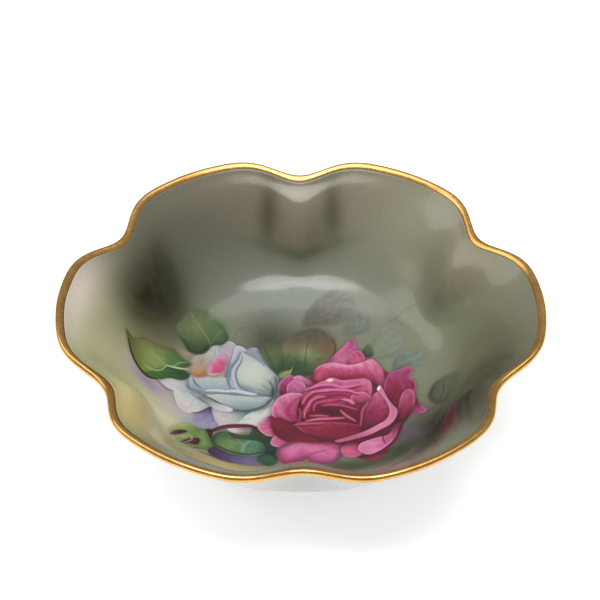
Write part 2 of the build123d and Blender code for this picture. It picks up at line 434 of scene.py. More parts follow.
def paint_pink_front(p):
    """The large hanging petals in front and the rolled ones at the lower right."""
    p.petal([(-13, -50), (-10, -46), (-3, -44), (6, -43), (14, -41), (20, -43), (22, -47), (21, -54),
             (17, -59), (11, -61), (6, -62), (3, -58.5), (0.5, -63), (-5, -64), (-9, -62), (-12, -57)],
            (4, -40), (0, -62), [(138, 38, 70), (178, 88, 126), (182, 94, 138), (164, 72, 116),
                                 (130, 38, 80)], None, shade=0.4, edge_from=0.8)
    p.wash((-5, -54), (3.4, 5), (206, 126, 170), 0.55, -20)
    p.wash((9, -51), (5, 3), (204, 122, 164), 0.5, 20)
    p.stroke([(-9, -52), (-2, -50), (8, -48), (16, -46)], 3.4, (196, 116, 154), 0.5, 1.6)
    p.stroke([(3, -58.5), (6, -54), (13, -49)], 1.6, (140, 44, 98), 0.5, 0.9)
    p.petal([(21, -50), (22, -46), (27, -43), (31, -44), (32, -50), (31, -54), (27, -55.5), (23, -54)],
            (31, -44), (25, -55), [(140, 38, 66), (176, 70, 104), (190, 86, 124), (178, 84, 124)], BLUSH,
            0.6)
    p.petal([(30, -55), (38, -53), (44, -50), (46, -52), (44, -57), (38, -60), (33, -58)],
            (36, -50), (38, -60), [WINE, WINE, (142, 38, 72)], None)
    p.petal([(30, -49), (32, -44), (40, -41), (48, -40), (53, -35), (58, -32), (57, -36), (52, -42),
             (46, -48), (39, -53), (34, -53.5)], (56, -33), (31, -51),
            [MAGENTA, (170, 72, 108), (182, 92, 130), (200, 118, 156), (194, 108, 148)], PEARL, 0.8,
            edge_from=0.3)
    p.stroke([(44, -49), (50, -44), (55, -38)], 1.0, BLUSH, 0.6)
    p.stroke([(45, -47), (44, -42), (46, -38)], 1.0, WINE, 0.7)
    p.stroke([(36, -55), (46, -50), (56, -41), (59, -35)], 1.2, CRIMSON, 0.6)


def paint_pink_cup(p):
    """The cup: its dark inside, the petals that close it, and the long lip that swings round the right."""
    p.petal([(-14, -24), (-8, -26), (-3, -30), (2, -36), (9, -41), (5, -45), (-3, -45), (-9, -42),
             (-14, -36), (-16, -29)], (-12, -24), (4, -44), [(126, 30, 52), (100, 22, 38), (96, 22, 40),
            CRIMSON], None, shade=0.2)
    p.petal([(2, -6), (8, 1), (14, 4.5), (18, 6.5), (23, 4.5), (31, 5.2), (36, 5.4), (39, 2), (39, -6),
             (37, -16), (34, -26), (16, -34), (2, -30), (-2, -20)], (18, -26), (24, 6),
            [WINE, CRIMSON, MAGENTA, ROSE, BLUSH], BLUSH, 2.2, veins=0.08)
    p.petal([(37, -14), (40, -7), (44, -5), (48, -13), (50, -20), (50, -28), (46, -32), (38, -33),
             (31, -32), (34, -24)], (38, -34), (44, -6), [WINE, (122, 32, 60), (134, 42, 74),
                                                          (160, 64, 100), (194, 104, 142)], None,
            shade=0.15)
    p.petal([(-3, -31), (2, -29), (10, -27), (20, -27.5), (28, -29), (32, -31), (33, -36), (28, -39),
             (18, -41), (8, -40.5), (1, -37)], (18, -42), (14, -27),
            [(150, 40, 66), CRIMSON, (128, 32, 56), (156, 48, 84)], ROSE, 0.9)
    p.petal([(42, -3), (43.5, 0), (45, -3), (47, -9), (50, -15), (54, -21), (54.5, -28), (51, -33),
             (42, -36), (34, -39), (26, -41.5), (20, -43), (18, -41.5), (24, -39), (32, -36), (40, -33),
             (48, -30), (50.5, -26), (50, -20), (47, -13), (44, -7)], (30, -40), (52, -20),
            [(186, 94, 130), (204, 116, 150), (204, 114, 150), (186, 100, 140)], PEARL, 0.6, shade=0.1,
            veins=0.04, edge_from=0.2, shadow=0.8)
    p.stroke([(42.5, -4), (43.5, -1)], 1.6, (250, 226, 232), 0.95)
    p.stroke([(15, 4), (18, 5)], 2.4, (250, 216, 228), 0.9, 0.8)


def paint_pink_heart(p):
    """The heart: dark hollows first, then the pale lips of the furled petals over them."""
    p.wash((17, -20), (8, 4.5), (66, 22, 32), 0.95)
    p.wash((8, -18), (4, 6), WINE, 0.7)
    p.wash((31, -24), (5, 5), WINE, 0.7)
    p.petal([(28, -7.5), (31, -5), (35, -5), (38, -8), (38.4, -12), (35, -15.5), (31, -14.5), (28.4, -11)],
            (33, -16), (32, -4), [(128, 40, 68), (166, 70, 104), (190, 98, 134)], (214, 130, 164), 0.8,
            shadow=0.6)
    p.petal([(10, -13), (12, -17), (18, -17), (24, -16.4), (28, -17), (26, -13), (20, -11), (14, -10.6)],
            (19, -18), (19, -10), [(104, 26, 46), (150, 52, 84), (170, 72, 108)], None, shadow=0.5)
    for path, width, colour in [
        ([(3, -3), (9, 0), (16, 1), (24, -1), (33, 1)], 1.6, (206, 112, 156)),
        ([(5, -6), (11, -4), (18, -3), (26, -3.5), (31, -6)], 1.7, (214, 116, 158)),
        ([(7, -8), (14, -7), (21, -5.5), (27, -7)], 1.5, (150, 48, 96)),
        ([(1, -15), (3, -9), (7, -4.5)], 1.2, (204, 100, 122)),
        ([(4, -20), (5, -13), (9, -9), (15, -9)], 1.5, (204, 100, 142)),
        ([(7, -19), (8, -14), (12, -12), (18, -12), (25, -10)], 1.5, (178, 64, 108)),
        ([(24, -11), (28, -12), (31, -15)], 1.8, (216, 130, 160)),
        ([(12, -15), (16, -14.5), (22, -15.5), (27, -17), (33, -20)], 1.2, (184, 74, 112)),
        ([(2, -26), (2.5, -20), (4, -15)], 1.2, (208, 96, 126)),
        ([(-1, -29), (0, -23), (-1, -18)], 1.0, (162, 66, 96)),
        ([(5, -23), (10, -22.5), (15, -23)], 1.1, (196, 86, 120)),
        ([(3, -28), (8, -25.5), (16, -24.8), (24, -24.5)], 1.4, (214, 108, 142)),
        ([(22, -19), (25, -23), (30, -27.5)], 1.3, (206, 98, 130)),
        ([(32, -31), (35, -24), (37, -17), (37.5, -12)], 1.0, (180, 84, 118)),
        ([(-4, -31), (1, -31), (6, -29), (12, -28)], 1.0, (180, 84, 108)),
    ]:
        p.stroke([(a + 0.5, b - 1.3) for a, b in path], 1.5 * width, (92, 20, 42), 0.7, 0.8)
        p.stroke(path, 1.5 * width, colour, 0.45, 0.9)
        p.stroke(path, width, colour, 0.8, 0.4)


def paint_pink_rose(p):
    """The whole rose, back to front."""
    p.shadow_colour = (64, 14, 32)
    p.tone = 0.98
    p.petal([(14, 14), (2, 2), (-10, -8), (-16, -30), (-8, -50), (8, -58), (24, -52), (40, -54), (54, -42),
             (60, -30), (62, -8), (52, 4), (40, 16)], (20, -20), (20, 16), [WINE, CRIMSON, CRIMSON], None,
            blur=0.8)
    paint_pink_back(p)
    paint_pink_right(p)
    paint_pink_left(p)
    paint_pink_front(p)
    paint_pink_cup(p)
    paint_pink_heart(p)


try_layer(paint_pink_rose, 26, 16)

# %% [markdown]
# Behind the roses the decorator set soft leaves that are hardly more than shadows, wiped out of the wet
# ground, and darker foliage between the two flowers that pushes them forward.

# %% Leaves in the distance
def paint_distance(p):
    """Shadow leaves to the right and above, then the dark greens between the roses."""
    p.petal([(2, 52), (8, 66), (20, 72), (30, 66), (31, 56), (22, 49), (10, 49)], (4, 50), (28, 70),
            [(100, 98, 88), (104, 102, 94), (112, 112, 102)], None, shade=0.1, blur=2.6, veins=0.08,
            shadow=0.06)
    p.petal([(26, 40), (27, 50), (34, 56), (40, 50), (38, 42)], (30, 38), (34, 56),
            [(104, 112, 102), (108, 116, 106)], None, shade=0.1, blur=2.4, veins=0.08, shadow=0.06)
    p.petal([(42, 24), (44, 40), (54, 48), (63, 42), (62, 28), (52, 22)], (44, 22), (60, 46),
            [(112, 120, 104), (120, 124, 110)], None, shade=0.1, blur=2.4, veins=0.05, shadow=0.06)
    p.petal([(52, 9), (54, 19), (64, 24), (72, 18), (66, 12), (60, 14)], (52, 8), (72, 20),
            [(96, 108, 102), (112, 122, 114)], None, shade=0.15, blur=1.6, veins=0.08, shadow=0.1)
    p.stroke([(50, 47), (57, 50), (64, 54), (74, 56)], 0.9, (92, 96, 84), 0.6, 0.4)
    p.stroke([(57, 50), (60, 46), (64, 44)], 0.7, (96, 100, 88), 0.5, 0.4)
    p.petal([(38, 24), (37, 29), (40, 33), (44, 28), (43, 24)], (38, 24), (41, 33),
            [(60, 74, 50), (84, 100, 66)], None, blur=0.6, shadow=0.15)
    p.petal([(70, -14), (74, -4), (84, -2), (90, -8), (84, -18), (76, -22)], (70, -16), (90, -6),
            [(70, 78, 62), (84, 92, 74)], None, shade=0.3, blur=1.4, veins=0.04, shadow=0.25)
    p.stroke([(66, -30), (72, -26), (78, -14), (80, -4)], 0.8, (46, 44, 34), 0.6, 0.5)
    p.stroke([(62, -36), (70, -40), (80, -36), (88, -40)], 1.0, (48, 50, 36), 0.6, 0.7)
    p.wash((62, -44), (10, 7), (84, 70, 104), 0.75, -30)
    p.wash((50, -56), (15, 8), (34, 42, 30), 0.95, 20)
    p.wash((26, -63), (18, 6), (56, 60, 42), 0.9)
    p.wash((44, -57), (6, 3), (56, 88, 64), 0.8, 20)
    p.wash((-18, 34), (13, 18), (64, 64, 54), 0.85)
    p.wash((2, 28), (17, 20), (56, 58, 44), 0.85)
    p.petal([(-8, 8), (-12, 22), (-8, 38), (2, 47), (12, 45), (20, 34), (19, 20), (10, 10)], (0, 6),
            (6, 46), [(38, 56, 32), (80, 92, 58), (108, 112, 76), (90, 80, 62), (78, 72, 62)], None,
            shade=0.3, blur=1.6, shadow=0.1)
    p.wash((15, 29), (4, 9), (104, 72, 54), 0.7)
    p.wash((4, 26), (3, 8), (146, 152, 92), 0.6, 15)
    p.stroke([(2, 8), (3, 20), (4, 32), (6, 42)], 0.7, (52, 62, 36), 0.6, 0.5)
    p.stroke([(18, 38), (20, 30), (17, 20), (12, 13)], 0.9, (62, 34, 30), 0.7, 0.5)
    p.petal([(-13, 10), (-20, 18), (-23, 28), (-18, 36), (-11, 30), (-9, 18)], (-12, 8), (-19, 36),
            [(44, 62, 36), (86, 96, 52), (84, 92, 58), (66, 68, 54)], None, shade=0.3, blur=1.0, shadow=0.15)
    p.stroke([(-38, 36), (-35, 43), (-29, 45), (-25, 40), (-24, 34)], 0.7, (104, 74, 70), 0.55, 0.5)
    p.stroke([(-22, 34), (-22, 42), (-24, 48)], 0.8, (60, 66, 50), 0.55, 0.5)
    p.stroke([(-16, 36), (-14, 42), (-12, 46)], 0.7, (66, 68, 52), 0.5, 0.5)
    p.wash((-3, 14), (11, 9), (42, 66, 42), 0.9)
    p.wash((-13, 4), (3, 8), (60, 60, 80), 0.6)
    p.stroke([(-21, 32), (-17, 22), (-14, 14), (-10, 12)], 1.6, (48, 70, 44), 0.6, 0.7)
    p.petal([(-15, 7), (-10, 11), (-5, 13), (-3.5, 21), (-5, 10), (-8, 6)], (-15, 6), (-4, 20),
            [(160, 178, 96), (140, 160, 84), (100, 120, 64)], None, shadow=0.3)


try_layer(paint_distance, 4, 26)

# %% [markdown]
# The white rose is bare porcelain colour shaded with blue-grey and a breath of green, and its warm heart is
# only a few touches of pink and orange. White on a pale ground needs its dark side: the green leaf behind
# and the violet shadow below do that work.

# %% The white rose
WHITE = (224, 226, 218)
MILK = (206, 212, 210)
BLUE_GREY = (150, 164, 172)
SLATE = (98, 116, 122)


def paint_white_rose(p):
    """Violet shadow, outer petals, the globe of the flower, its folds, and the small warm heart."""
    p.shadow_colour = (60, 72, 74)
    p.tone = 0.84
    p.wash((-84, -10), (12, 5), (176, 150, 190), 0.8, -18)
    p.wash((-69, -24), (10, 8), (206, 192, 200), 0.7, -10)
    p.wash((-61, -33), (9, 5), (176, 170, 194), 0.8, 8)
    p.petal([(-79, -4), (-74, -0.5), (-66, 2), (-58, 3), (-50, -10), (-48, -16), (-51, -19), (-56, -22.5),
             (-60.5, -23.5), (-63, -25), (-66.5, -22), (-68, -17), (-69.5, -10), (-73, -8)],
            (-52, -4), (-70, -16), [(150, 162, 170), (190, 196, 198), MILK, WHITE, (226, 214, 220)],
            (236, 230, 230), 1.0, shade=0.12, veins=0.015, shadow=0.3)
    p.wash((-64, -20), (3, 4), (222, 196, 206), 0.5, -20)
    p.stroke([(-79, -4), (-74, -8), (-69, -9)], 1.6, (140, 100, 152), 0.8, 0.5)
    p.petal([(-49, -18), (-40, -21), (-30, -20), (-27, -26), (-32, -31), (-40, -32), (-45, -34.5),
             (-50, -30), (-51, -24)], (-34, -18), (-44, -34), [(112, 126, 128), (150, 162, 162),
            (196, 202, 200), (218, 204, 210), (204, 192, 204)], None, shade=0.12, veins=0.015, shadow=0.3)
    p.petal([(-40, -31), (-35, -29.5), (-30, -23), (-22, -17), (-16, -13), (-12, -15), (-14, -22),
             (-20, -29), (-26, -31.5), (-33, -31.5)], (-13, -14), (-38, -31),
            [(190, 190, 190), (228, 226, 222), WHITE, (214, 216, 210)], (236, 234, 230), 0.8, shade=0.1,
            veins=0.015, shadow=0.3)
    p.petal([(-48.6, -16.6), (-53, -20.5), (-57, -23.5), (-60.5, -27), (-61, -33), (-56, -38), (-50, -38),
             (-45, -35.5), (-49, -31), (-50.6, -25), (-49.8, -20)], (-48, -15), (-56, -38),
            [(40, 30, 52), (84, 66, 108), (140, 118, 164), (156, 142, 184), (162, 158, 190),
             (166, 168, 192)], None, shade=0.1, shadow=0.2, blur=0.35, veins=0.04)
    p.stroke([(-49, -17), (-53, -20), (-57, -23), (-60, -24.5)], 0.9, (58, 48, 66), 0.8, 0.3)
    p.stroke([(-49.4, -18), (-50.4, -24), (-50, -29), (-47, -33)], 0.7, (96, 92, 110), 0.6, 0.4)
    p.petal([(-61, 4), (-64.5, 7.5), (-62.5, 10), (-64, 13.5), (-60.5, 15), (-61, 20), (-59, 22.5),
             (-59.5, 26), (-56.5, 27.5), (-55.5, 31), (-51.5, 31.5), (-49, 33.6), (-45, 33), (-42.5, 35.2),
             (-39, 34.6), (-36.5, 32), (-33, 31), (-30, 28.5), (-25, 30), (-22, 25), (-18, 17), (-14.5, 10),
             (-12, 3), (-12, -4), (-14, -10), (-20, -16), (-28, -20), (-38, -20.5), (-46, -14), (-54, -9),
             (-62, -4)], (-38, -20), (-36, 34), [(160, 174, 178), BLUE_GREY, (176, 188, 196),
                                                 (196, 202, 204), (206, 204, 204), (208, 198, 208)], None,
            shade=0.22, veins=0.015, shadow=0.45)
    p.petal([(-60.5, 6), (-63, 13), (-60, 21), (-58.5, 26), (-55, 30.5), (-50, 32.5), (-47, 29), (-48, 22),
             (-51, 14), (-53, 8)], (-54, 8), (-55, 31), [(190, 150, 118), (196, 176, 156), (196, 196, 188),
                                                         (204, 206, 204)], (228, 228, 224), 1.1, shade=0.1,
            veins=0.03, shadow=0.2)
    p.petal([(-50, 32.8), (-45, 33.4), (-42.5, 35), (-38.5, 34), (-36, 30), (-38, 24), (-41, 16), (-46, 18),
             (-50, 25)], (-43, 14), (-43, 35), [(214, 130, 164), (210, 168, 196), (196, 182, 198),
                                                (206, 196, 210)], (226, 220, 228), 1.1, shade=0.15,
            veins=0.03, shadow=0.25)
    p.petal([(-37, 31.5), (-33, 30.5), (-30.5, 28), (-34, 25), (-37, 19), (-38, 8), (-42, 6), (-41.5, 18),
             (-40, 26)], (-38, 4), (-33, 31), [(148, 164, 180), (170, 180, 196), (196, 198, 208),
                                               (214, 210, 216)], (232, 228, 232), 0.8, shade=0.15,
            veins=0.03, shadow=0.35)
    p.petal([(-26, 30), (-22, 25), (-17, 15), (-13, 8), (-16, 12), (-22, 20), (-28, 25), (-31, 28)],
            (-14, 8), (-28, 28), [SLATE, (136, 146, 158), (160, 164, 176)], None, shadow=0.1)
    p.petal([(-34, 27), (-29, 23.5), (-22, 17.5), (-16, 10.5), (-13.2, 4), (-13, -4), (-16, -9), (-22, -8),
             (-28, -4), (-33, 1), (-35.4, 8), (-35.6, 18)], (-13, -9), (-34, 22),
            [(92, 104, 100), (150, 160, 158), (190, 198, 194), (212, 216, 208), (214, 218, 208),
             (200, 206, 206)], (190, 200, 206), 1.0, shade=0.16, veins=0.015, shadow=0.45, blur=0.3,
            edge_from=0.6)
    p.wash((-26, 9), (5.5, 9), (222, 226, 210), 0.8, 20)
    p.wash((-29, -3), (5, 2.5), (134, 152, 166), 0.7, -20)
    p.petal([(-61.5, 5), (-57, 6.4), (-51, 5.4), (-46, 4.2), (-41, 6), (-38, 3), (-36.5, -3), (-46, -5),
             (-54, -6), (-60, -3)], (-48, -9), (-49, 6), [(132, 150, 162), (160, 178, 190), (182, 194, 202),
                                                          (198, 206, 206)], (224, 222, 212), 0.8, shade=0.1,
            veins=0.02, shadow=0.3)
    for path, width, colour in [
        ([(-35, 27), (-38, 21), (-39.8, 12), (-39.6, 4), (-38, -3)], 2.2, (124, 140, 158)),
        ([(-35, 25), (-37.2, 17), (-37.2, 8), (-35, -1), (-33, -4)], 1.7, (212, 208, 226)),
        ([(-34, 25), (-35.8, 17), (-35.6, 8), (-33.4, 0), (-29, -4)], 0.8, (104, 122, 142)),
        ([(-41.5, 25), (-41, 15), (-40.6, 6), (-39, 0)], 0.6, (112, 126, 146)),
        ([(-32.5, 27.5), (-29, 25), (-24, 21), (-20, 16)], 0.9, (120, 134, 150)),
        ([(-24, 28), (-21, 22), (-17.5, 15), (-15, 11)], 0.8, (96, 108, 118)),
        ([(-59, 4), (-57.5, 0), (-54.5, -3)], 1.0, (76, 88, 98)),
        ([(-62, 3), (-60, -4), (-55, -8), (-50, -11)], 1.3, (132, 148, 160)),
        ([(-60, -7), (-55, -12), (-50, -15.5), (-48, -17)], 0.8, (96, 104, 108)),
        ([(-55, 27), (-56, 22), (-55, 15), (-56, 11)], 0.6, (168, 158, 150)),
    ]:
        p.stroke(path, width, colour, 0.85, 0.3)
    p.petal([(-52, -9), (-44, -7), (-34, -8), (-24, -8), (-16, -10), (-15, -13), (-20, -18), (-29, -21),
             (-38, -20.5), (-45, -15)], (-32, -22), (-34, -6),
            [(120, 138, 140), (156, 172, 176), (188, 200, 204), (204, 210, 208)], None, shade=0.1,
            veins=0.015, shadow=0.3)
    p.stroke([(-50, -6.8), (-42, -6.2), (-36, -6.4), (-28, -8), (-21, -9)], 0.9, (108, 124, 134), 0.8, 0.3)
    p.stroke([(-52, -5), (-47, -4.2), (-42, -4.4), (-38.5, -5)], 1.9, (224, 224, 230), 0.95, 0.3)
    p.stroke([(-40, -4), (-34, -4.4), (-28, -6), (-24, -6.8)], 2.2, (228, 222, 232), 0.95, 0.3)
    p.stroke([(-47, -10), (-40, -9.4), (-30, -10.6), (-22, -13)], 2.6, (200, 208, 210), 0.6, 1.0)
    p.stroke([(-39, -20), (-32, -20.6), (-25, -18.6), (-18, -13.5), (-14, -8)], 1.3, (70, 84, 80), 0.8, 0.4)
    p.stroke([(-53, -8.4), (-48, -11.4), (-43.5, -15.5), (-40, -19.6)], 1.4, (78, 88, 90), 0.85, 0.35)
    p.petal([(-56, -10), (-51, -11), (-46, -14), (-41, -17), (-39, -20), (-42, -22), (-48, -20), (-51, -15)],
            (-56, -9), (-40, -21), [MILK, (206, 206, 212), (226, 208, 218)], None, shadow=0.3)
    for path, width, colour in [
        ([(-17, 4), (-15, -2), (-16, -9), (-20, -14)], 1.8, (72, 92, 96)),
        ([(-21, 0), (-17, -4), (-17, -10)], 0.7, (96, 116, 120)),
        ([(-24, -2), (-19, -6), (-18, -11)], 0.6, (104, 124, 128)),
        ([(-15, 8), (-13, 2), (-13.5, -6)], 1.0, (60, 78, 78)),
        ([(-57, 27), (-60, 20), (-62, 12), (-60, 6)], 1.0, (140, 150, 146)),
        ([(-34, 26), (-28, 22), (-22, 16)], 1.0, (196, 204, 208)),
        ([(-66, -4), (-58, -10), (-52, -16)], 1.0, (158, 168, 178)),
        ([(-74, -3), (-66, -6), (-60, -12)], 0.8, (178, 178, 190)),
        ([(-46, -25), (-36, -27), (-26, -25)], 1.0, (176, 184, 186)),
        ([(-44, -30), (-38, -29), (-32, -30)], 1.4, (216, 190, 200)),
        ([(-64, -22), (-60, -18), (-58, -12)], 1.2, (214, 196, 208)),
    ]:
        p.stroke(path, width, colour, 0.6, 0.4)
    p.petal([(-49, 22), (-46.6, 23.4), (-44, 20), (-42.4, 14), (-43.2, 10), (-47, 9), (-51.2, 9.6),
             (-52, 13), (-50.6, 18)], (-44, 10), (-49, 23), [(208, 76, 116), (220, 96, 138),
            (224, 128, 162), (220, 160, 194)], None, shade=0.0, veins=0.05, shadow=0.1, blur=0.5)
    p.wash((-50.5, 12), (1.8, 5), (216, 172, 208), 0.85)
    p.wash((-45, 17), (1.6, 4), (216, 78, 124), 0.7, 10)
    p.petal([(-60, 6.4), (-59.4, 10), (-56, 12), (-53, 11), (-51, 7.4), (-54, 5.4), (-58, 5.2)], (-55, 6),
            (-58, 12), [(190, 122, 74), (204, 150, 98), (196, 168, 130)], None, shade=0.1, shadow=0.0,
            blur=1.2)
    p.wash((-56, 17), (2.2, 4), (186, 150, 118), 0.7)
    p.stroke([(-52, 7), (-48, 6.6), (-44.5, 7.6), (-41.8, 10)], 1.3, (204, 120, 116), 0.85, 0.3)
    p.stroke([(-50, 5.2), (-46, 4.8), (-42.4, 6.4)], 1.1, (212, 198, 150), 0.85, 0.3)
    p.stroke([(-60, 5), (-56, 4.6), (-52, 5.6)], 0.8, (190, 120, 104), 0.8, 0.3)
    p.stroke([(-45.6, 27), (-43.6, 21), (-42, 15)], 0.6, (188, 110, 130), 0.7, 0.3)
    p.stroke([(-43.4, 25), (-42.2, 20), (-41.2, 15)], 0.6, (150, 140, 130), 0.7, 0.3)
    p.stroke([(-48, 27), (-49.4, 22), (-49.4, 17)], 0.6, (236, 206, 218), 0.7, 0.3)


try_layer(paint_white_rose, -26, 9)

# %% [markdown]
# Leaves are two strokes of a loaded brush with a dark edge under them, and a vein picked out light. The
# buds hang on wine-red stems, and their sepals open on slits of crimson.

# %% Leaves and buds
def paint_leaves(p):
    """The dark leaf above the white rose, and the bright one at its left."""
    p.shadow_colour = (38, 36, 24)
    p.tone = 0.93
    p.petal([(-74, 46), (-65, 53), (-55, 54), (-46, 48), (-41, 38), (-46, 33), (-53, 32), (-57, 24),
             (-63, 23), (-70, 31), (-76, 38)], (-56, 30), (-64, 54),
            [(56, 72, 44), (84, 104, 64), (100, 112, 74), (96, 104, 76)], None, shade=0.3, blur=0.9,
            veins=0.05, shadow=0.2)
    p.wash((-47, 42), (6, 8), (74, 108, 66), 0.8)
    p.wash((-62, 44), (6, 5), (122, 130, 84), 0.6)
    p.wash((-64, 21.5), (5, 2.2), (176, 156, 146), 0.55)
    p.stroke([(-54, 32), (-56, 38), (-61, 46), (-66, 52)], 0.9, (134, 150, 100), 0.7, 0.5)
    p.stroke([(-54, 33), (-49, 39), (-44, 42)], 0.7, (126, 146, 98), 0.55, 0.5)
    p.stroke([(-64, 24), (-58, 26), (-56, 32)], 1.2, (38, 52, 30), 0.7, 0.6)
    p.petal([(-104, 17), (-98, 15), (-90, 20), (-80, 21), (-72, 22), (-66, 17), (-61, 14), (-65, 10),
             (-61, 6), (-64, 2), (-72, 1), (-78, -3), (-87, -5), (-94, -1), (-99, 6), (-102, 12)], (-64, 8),
            (-102, 10), [(70, 104, 56), (84, 116, 60), (122, 144, 78), (132, 146, 82), (124, 128, 72),
                         (104, 98, 54)], None, shade=0.25, veins=0.06, shadow=0.75)
    p.petal([(-65, 8), (-61, 5), (-65, 1), (-72, 0.5), (-79, -3.5), (-88, -5), (-84, 0), (-78, 6),
             (-71, 9)], (-62, 6), (-86, -4), [(40, 66, 36), (56, 92, 44), (74, 112, 54)], None, shade=0.1,
            shadow=0.1)
    p.wash((-82, 20), (14, 3), (112, 104, 52), 0.6)
    p.wash((-70, 15), (5, 4), (74, 112, 58), 0.7, -20)
    p.wash((-83, 9), (7, 6), (140, 158, 88), 0.7, 20)
    p.stroke([(-62, 10), (-68, 9.5), (-74, 9.5)], 1.3, (196, 208, 158), 0.9)
    p.stroke([(-74, 10), (-77, 5), (-82, 2), (-88, 2)], 1.0, (178, 194, 130), 0.8)
    p.stroke([(-75, 9), (-79, 12), (-86, 14)], 0.8, (160, 178, 116), 0.6)
    p.stroke([(-71, 9), (-67, 14), (-62, 15)], 0.8, (172, 190, 126), 0.6)
    p.stroke([(-102, 12), (-98, 4), (-93, -1.5), (-86, -5), (-79, -3.5)], 1.8, (36, 34, 18), 0.85, 0.5)


def paint_buds(p):
    """Stem first, then the far bud with its dark foliage, then the near one with its two crimson slits."""
    p.tone = 0.9
    p.petal([(-49, -52), (-45.5, -49), (-40, -52), (-32, -54), (-20, -54), (-19, -61), (-30, -62.5),
             (-41, -60), (-48, -57)], (-46, -51), (-20, -60), [(62, 44, 78), (84, 66, 112), (112, 94, 132),
            (120, 104, 136)], None, shade=0.1, shadow=0.3, blur=0.8, veins=0.06)
    p.stroke([(-54, -57), (-48, -58.5), (-42, -60.5), (-36, -62)], 1.4, (70, 50, 46), 0.75, 0.6)
    p.wash((-16, -48), (5, 12), (34, 60, 42), 0.95)
    p.petal([(-39, -36), (-33, -37.5), (-27.5, -37), (-26, -33), (-23.5, -33), (-20, -37), (-14, -40),
             (-13, -47), (-14, -52), (-20, -53), (-28, -48), (-36, -43)], (-14, -50), (-30, -36),
            [(36, 56, 38), (38, 58, 38), (56, 76, 46)], None, shade=0.1, shadow=0.3, veins=0.08)
    p.petal([(-17, -50), (-13, -54), (-13, -60), (-18, -62), (-23, -57), (-21, -52)], (-14, -50), (-20, -62),
            [(30, 56, 40), (52, 88, 64), (40, 66, 50)], None, shadow=0.3)
    p.petal([(-40, -34), (-34, -32.8), (-27.5, -33), (-26.5, -35), (-32, -36.6), (-38, -36)], (-26, -34),
            (-40, -35), [(196, 186, 176), (206, 178, 188), (222, 212, 210)], None, shadow=0.2)
    p.petal([(-48, -42), (-46, -38.5), (-42, -36.5), (-38, -37.5), (-35.6, -40.6), (-28, -41), (-21, -43),
             (-18.6, -48), (-21, -53), (-29, -54.4), (-38, -53), (-44, -50), (-48, -46)], (-47, -44),
            (-19, -49), [(66, 92, 54), (104, 132, 78), (112, 136, 88), (84, 120, 86), (92, 132, 108),
                         (48, 78, 58)], None, shade=0.3, veins=0.10, shadow=0.5)
    p.wash((-42, -40), (4, 3), (58, 96, 60), 0.7, 10)
    p.stroke([(-27, -42), (-30, -46), (-31, -51)], 2.4, (132, 162, 132), 0.6, 0.7)
    p.stroke([(-24, -43), (-25, -48), (-27, -53)], 1.4, (72, 110, 86), 0.7, 0.5)
    p.stroke([(-46, -47), (-38, -51), (-28, -53), (-20, -50)], 1.3, (34, 50, 34), 0.8, 0.5)
    p.stroke([(-34, -41), (-30, -46), (-31, -52)], 0.8, (150, 174, 132), 0.6)
    p.stroke([(-54, -42), (-50, -38), (-43, -33.5), (-33, -31), (-26, -31), (-20, -36)], 2.6, (72, 18, 38),
             0.95, 0.4, 0.6)
    p.petal([(-54, -38), (-50.5, -36.6), (-48.4, -40), (-49, -45), (-51, -47.5), (-53, -43)], (-50, -38),
            (-51, -47), [(76, 22, 40), (66, 26, 36), (84, 50, 48)], None, shadow=0.3, blur=0.5)
    p.stroke([(-47, -35.5), (-38, -32.5), (-30, -31.5)], 0.7, (140, 64, 92), 0.7)
    p.petal([(-76, -52), (-74, -43), (-69, -38), (-64, -36), (-59, -38), (-54, -38), (-50, -42), (-47, -48),
             (-49, -52), (-55, -55), (-62, -57), (-70, -60)], (-48, -46), (-76, -50),
            [(112, 140, 78), (124, 150, 84), (142, 164, 96), (158, 176, 112), (176, 188, 128)],
            (188, 200, 136), 1.2, shade=0.25, veins=0.10, shadow=0.45, edge_from=0.5)
    p.wash((-60, -42), (5, 3), (86, 126, 62), 0.7, 10)
    for slit in ([(-65, -43), (-69, -43.5), (-73, -48), (-74.5, -54), (-71, -50), (-68, -46.5)],
                 [(-55, -46.5), (-58, -46), (-63, -50), (-66, -56), (-61, -53), (-56, -51)]):
        p.petal(slit, slit[0], slit[3], [(96, 20, 40), (140, 32, 62), (84, 20, 34), (60, 18, 24)], None,
                shade=0.5, veins=0.2, shadow=0.9)
    p.stroke([(-64, -45), (-60, -48), (-66, -57)], 1.2, (186, 194, 132), 0.7, 0.5)


try_layer(paint_leaves, -83, 9)
try_layer(paint_buds, -60, -42)

# %% [markdown]
# Blender can take a whole mesh from numpy at once. A closed ring of the bowl is a row of vertices, rows are
# joined by four-sided faces, and each row's last face closes on its first vertex. The row at a pole is one
# point, closed by a fan of triangles, so that no hole is left. Modelling by hand with a subdivision
# modifier would be quicker to push about, but this way every vertex knows its own place on the painting.

# %% Rings into a mesh
def ring_faces(rows, columns, closed_along):
    """Corner numbers of the quads between neighbouring rings; closed_along joins the last to the first."""
    row = np.arange(rows if closed_along else rows - 1)[:, None]
    column = np.arange(columns)[None, :]
    here, after = row * columns, (row + 1) % rows * columns
    right = (column + 1) % columns
    return np.stack([here + column, here + right, after + right, after + column], axis=-1).reshape(-1, 4)


def pole_faces(ring_start, columns, pole, flipped):
    """Corner numbers of the triangles that close a ring on a single vertex."""
    column = np.arange(columns)
    right = (column + 1) % columns
    first, second = (right, column) if flipped else (column, right)
    return np.stack([ring_start + first, ring_start + second, np.full(columns, pole)], axis=-1)


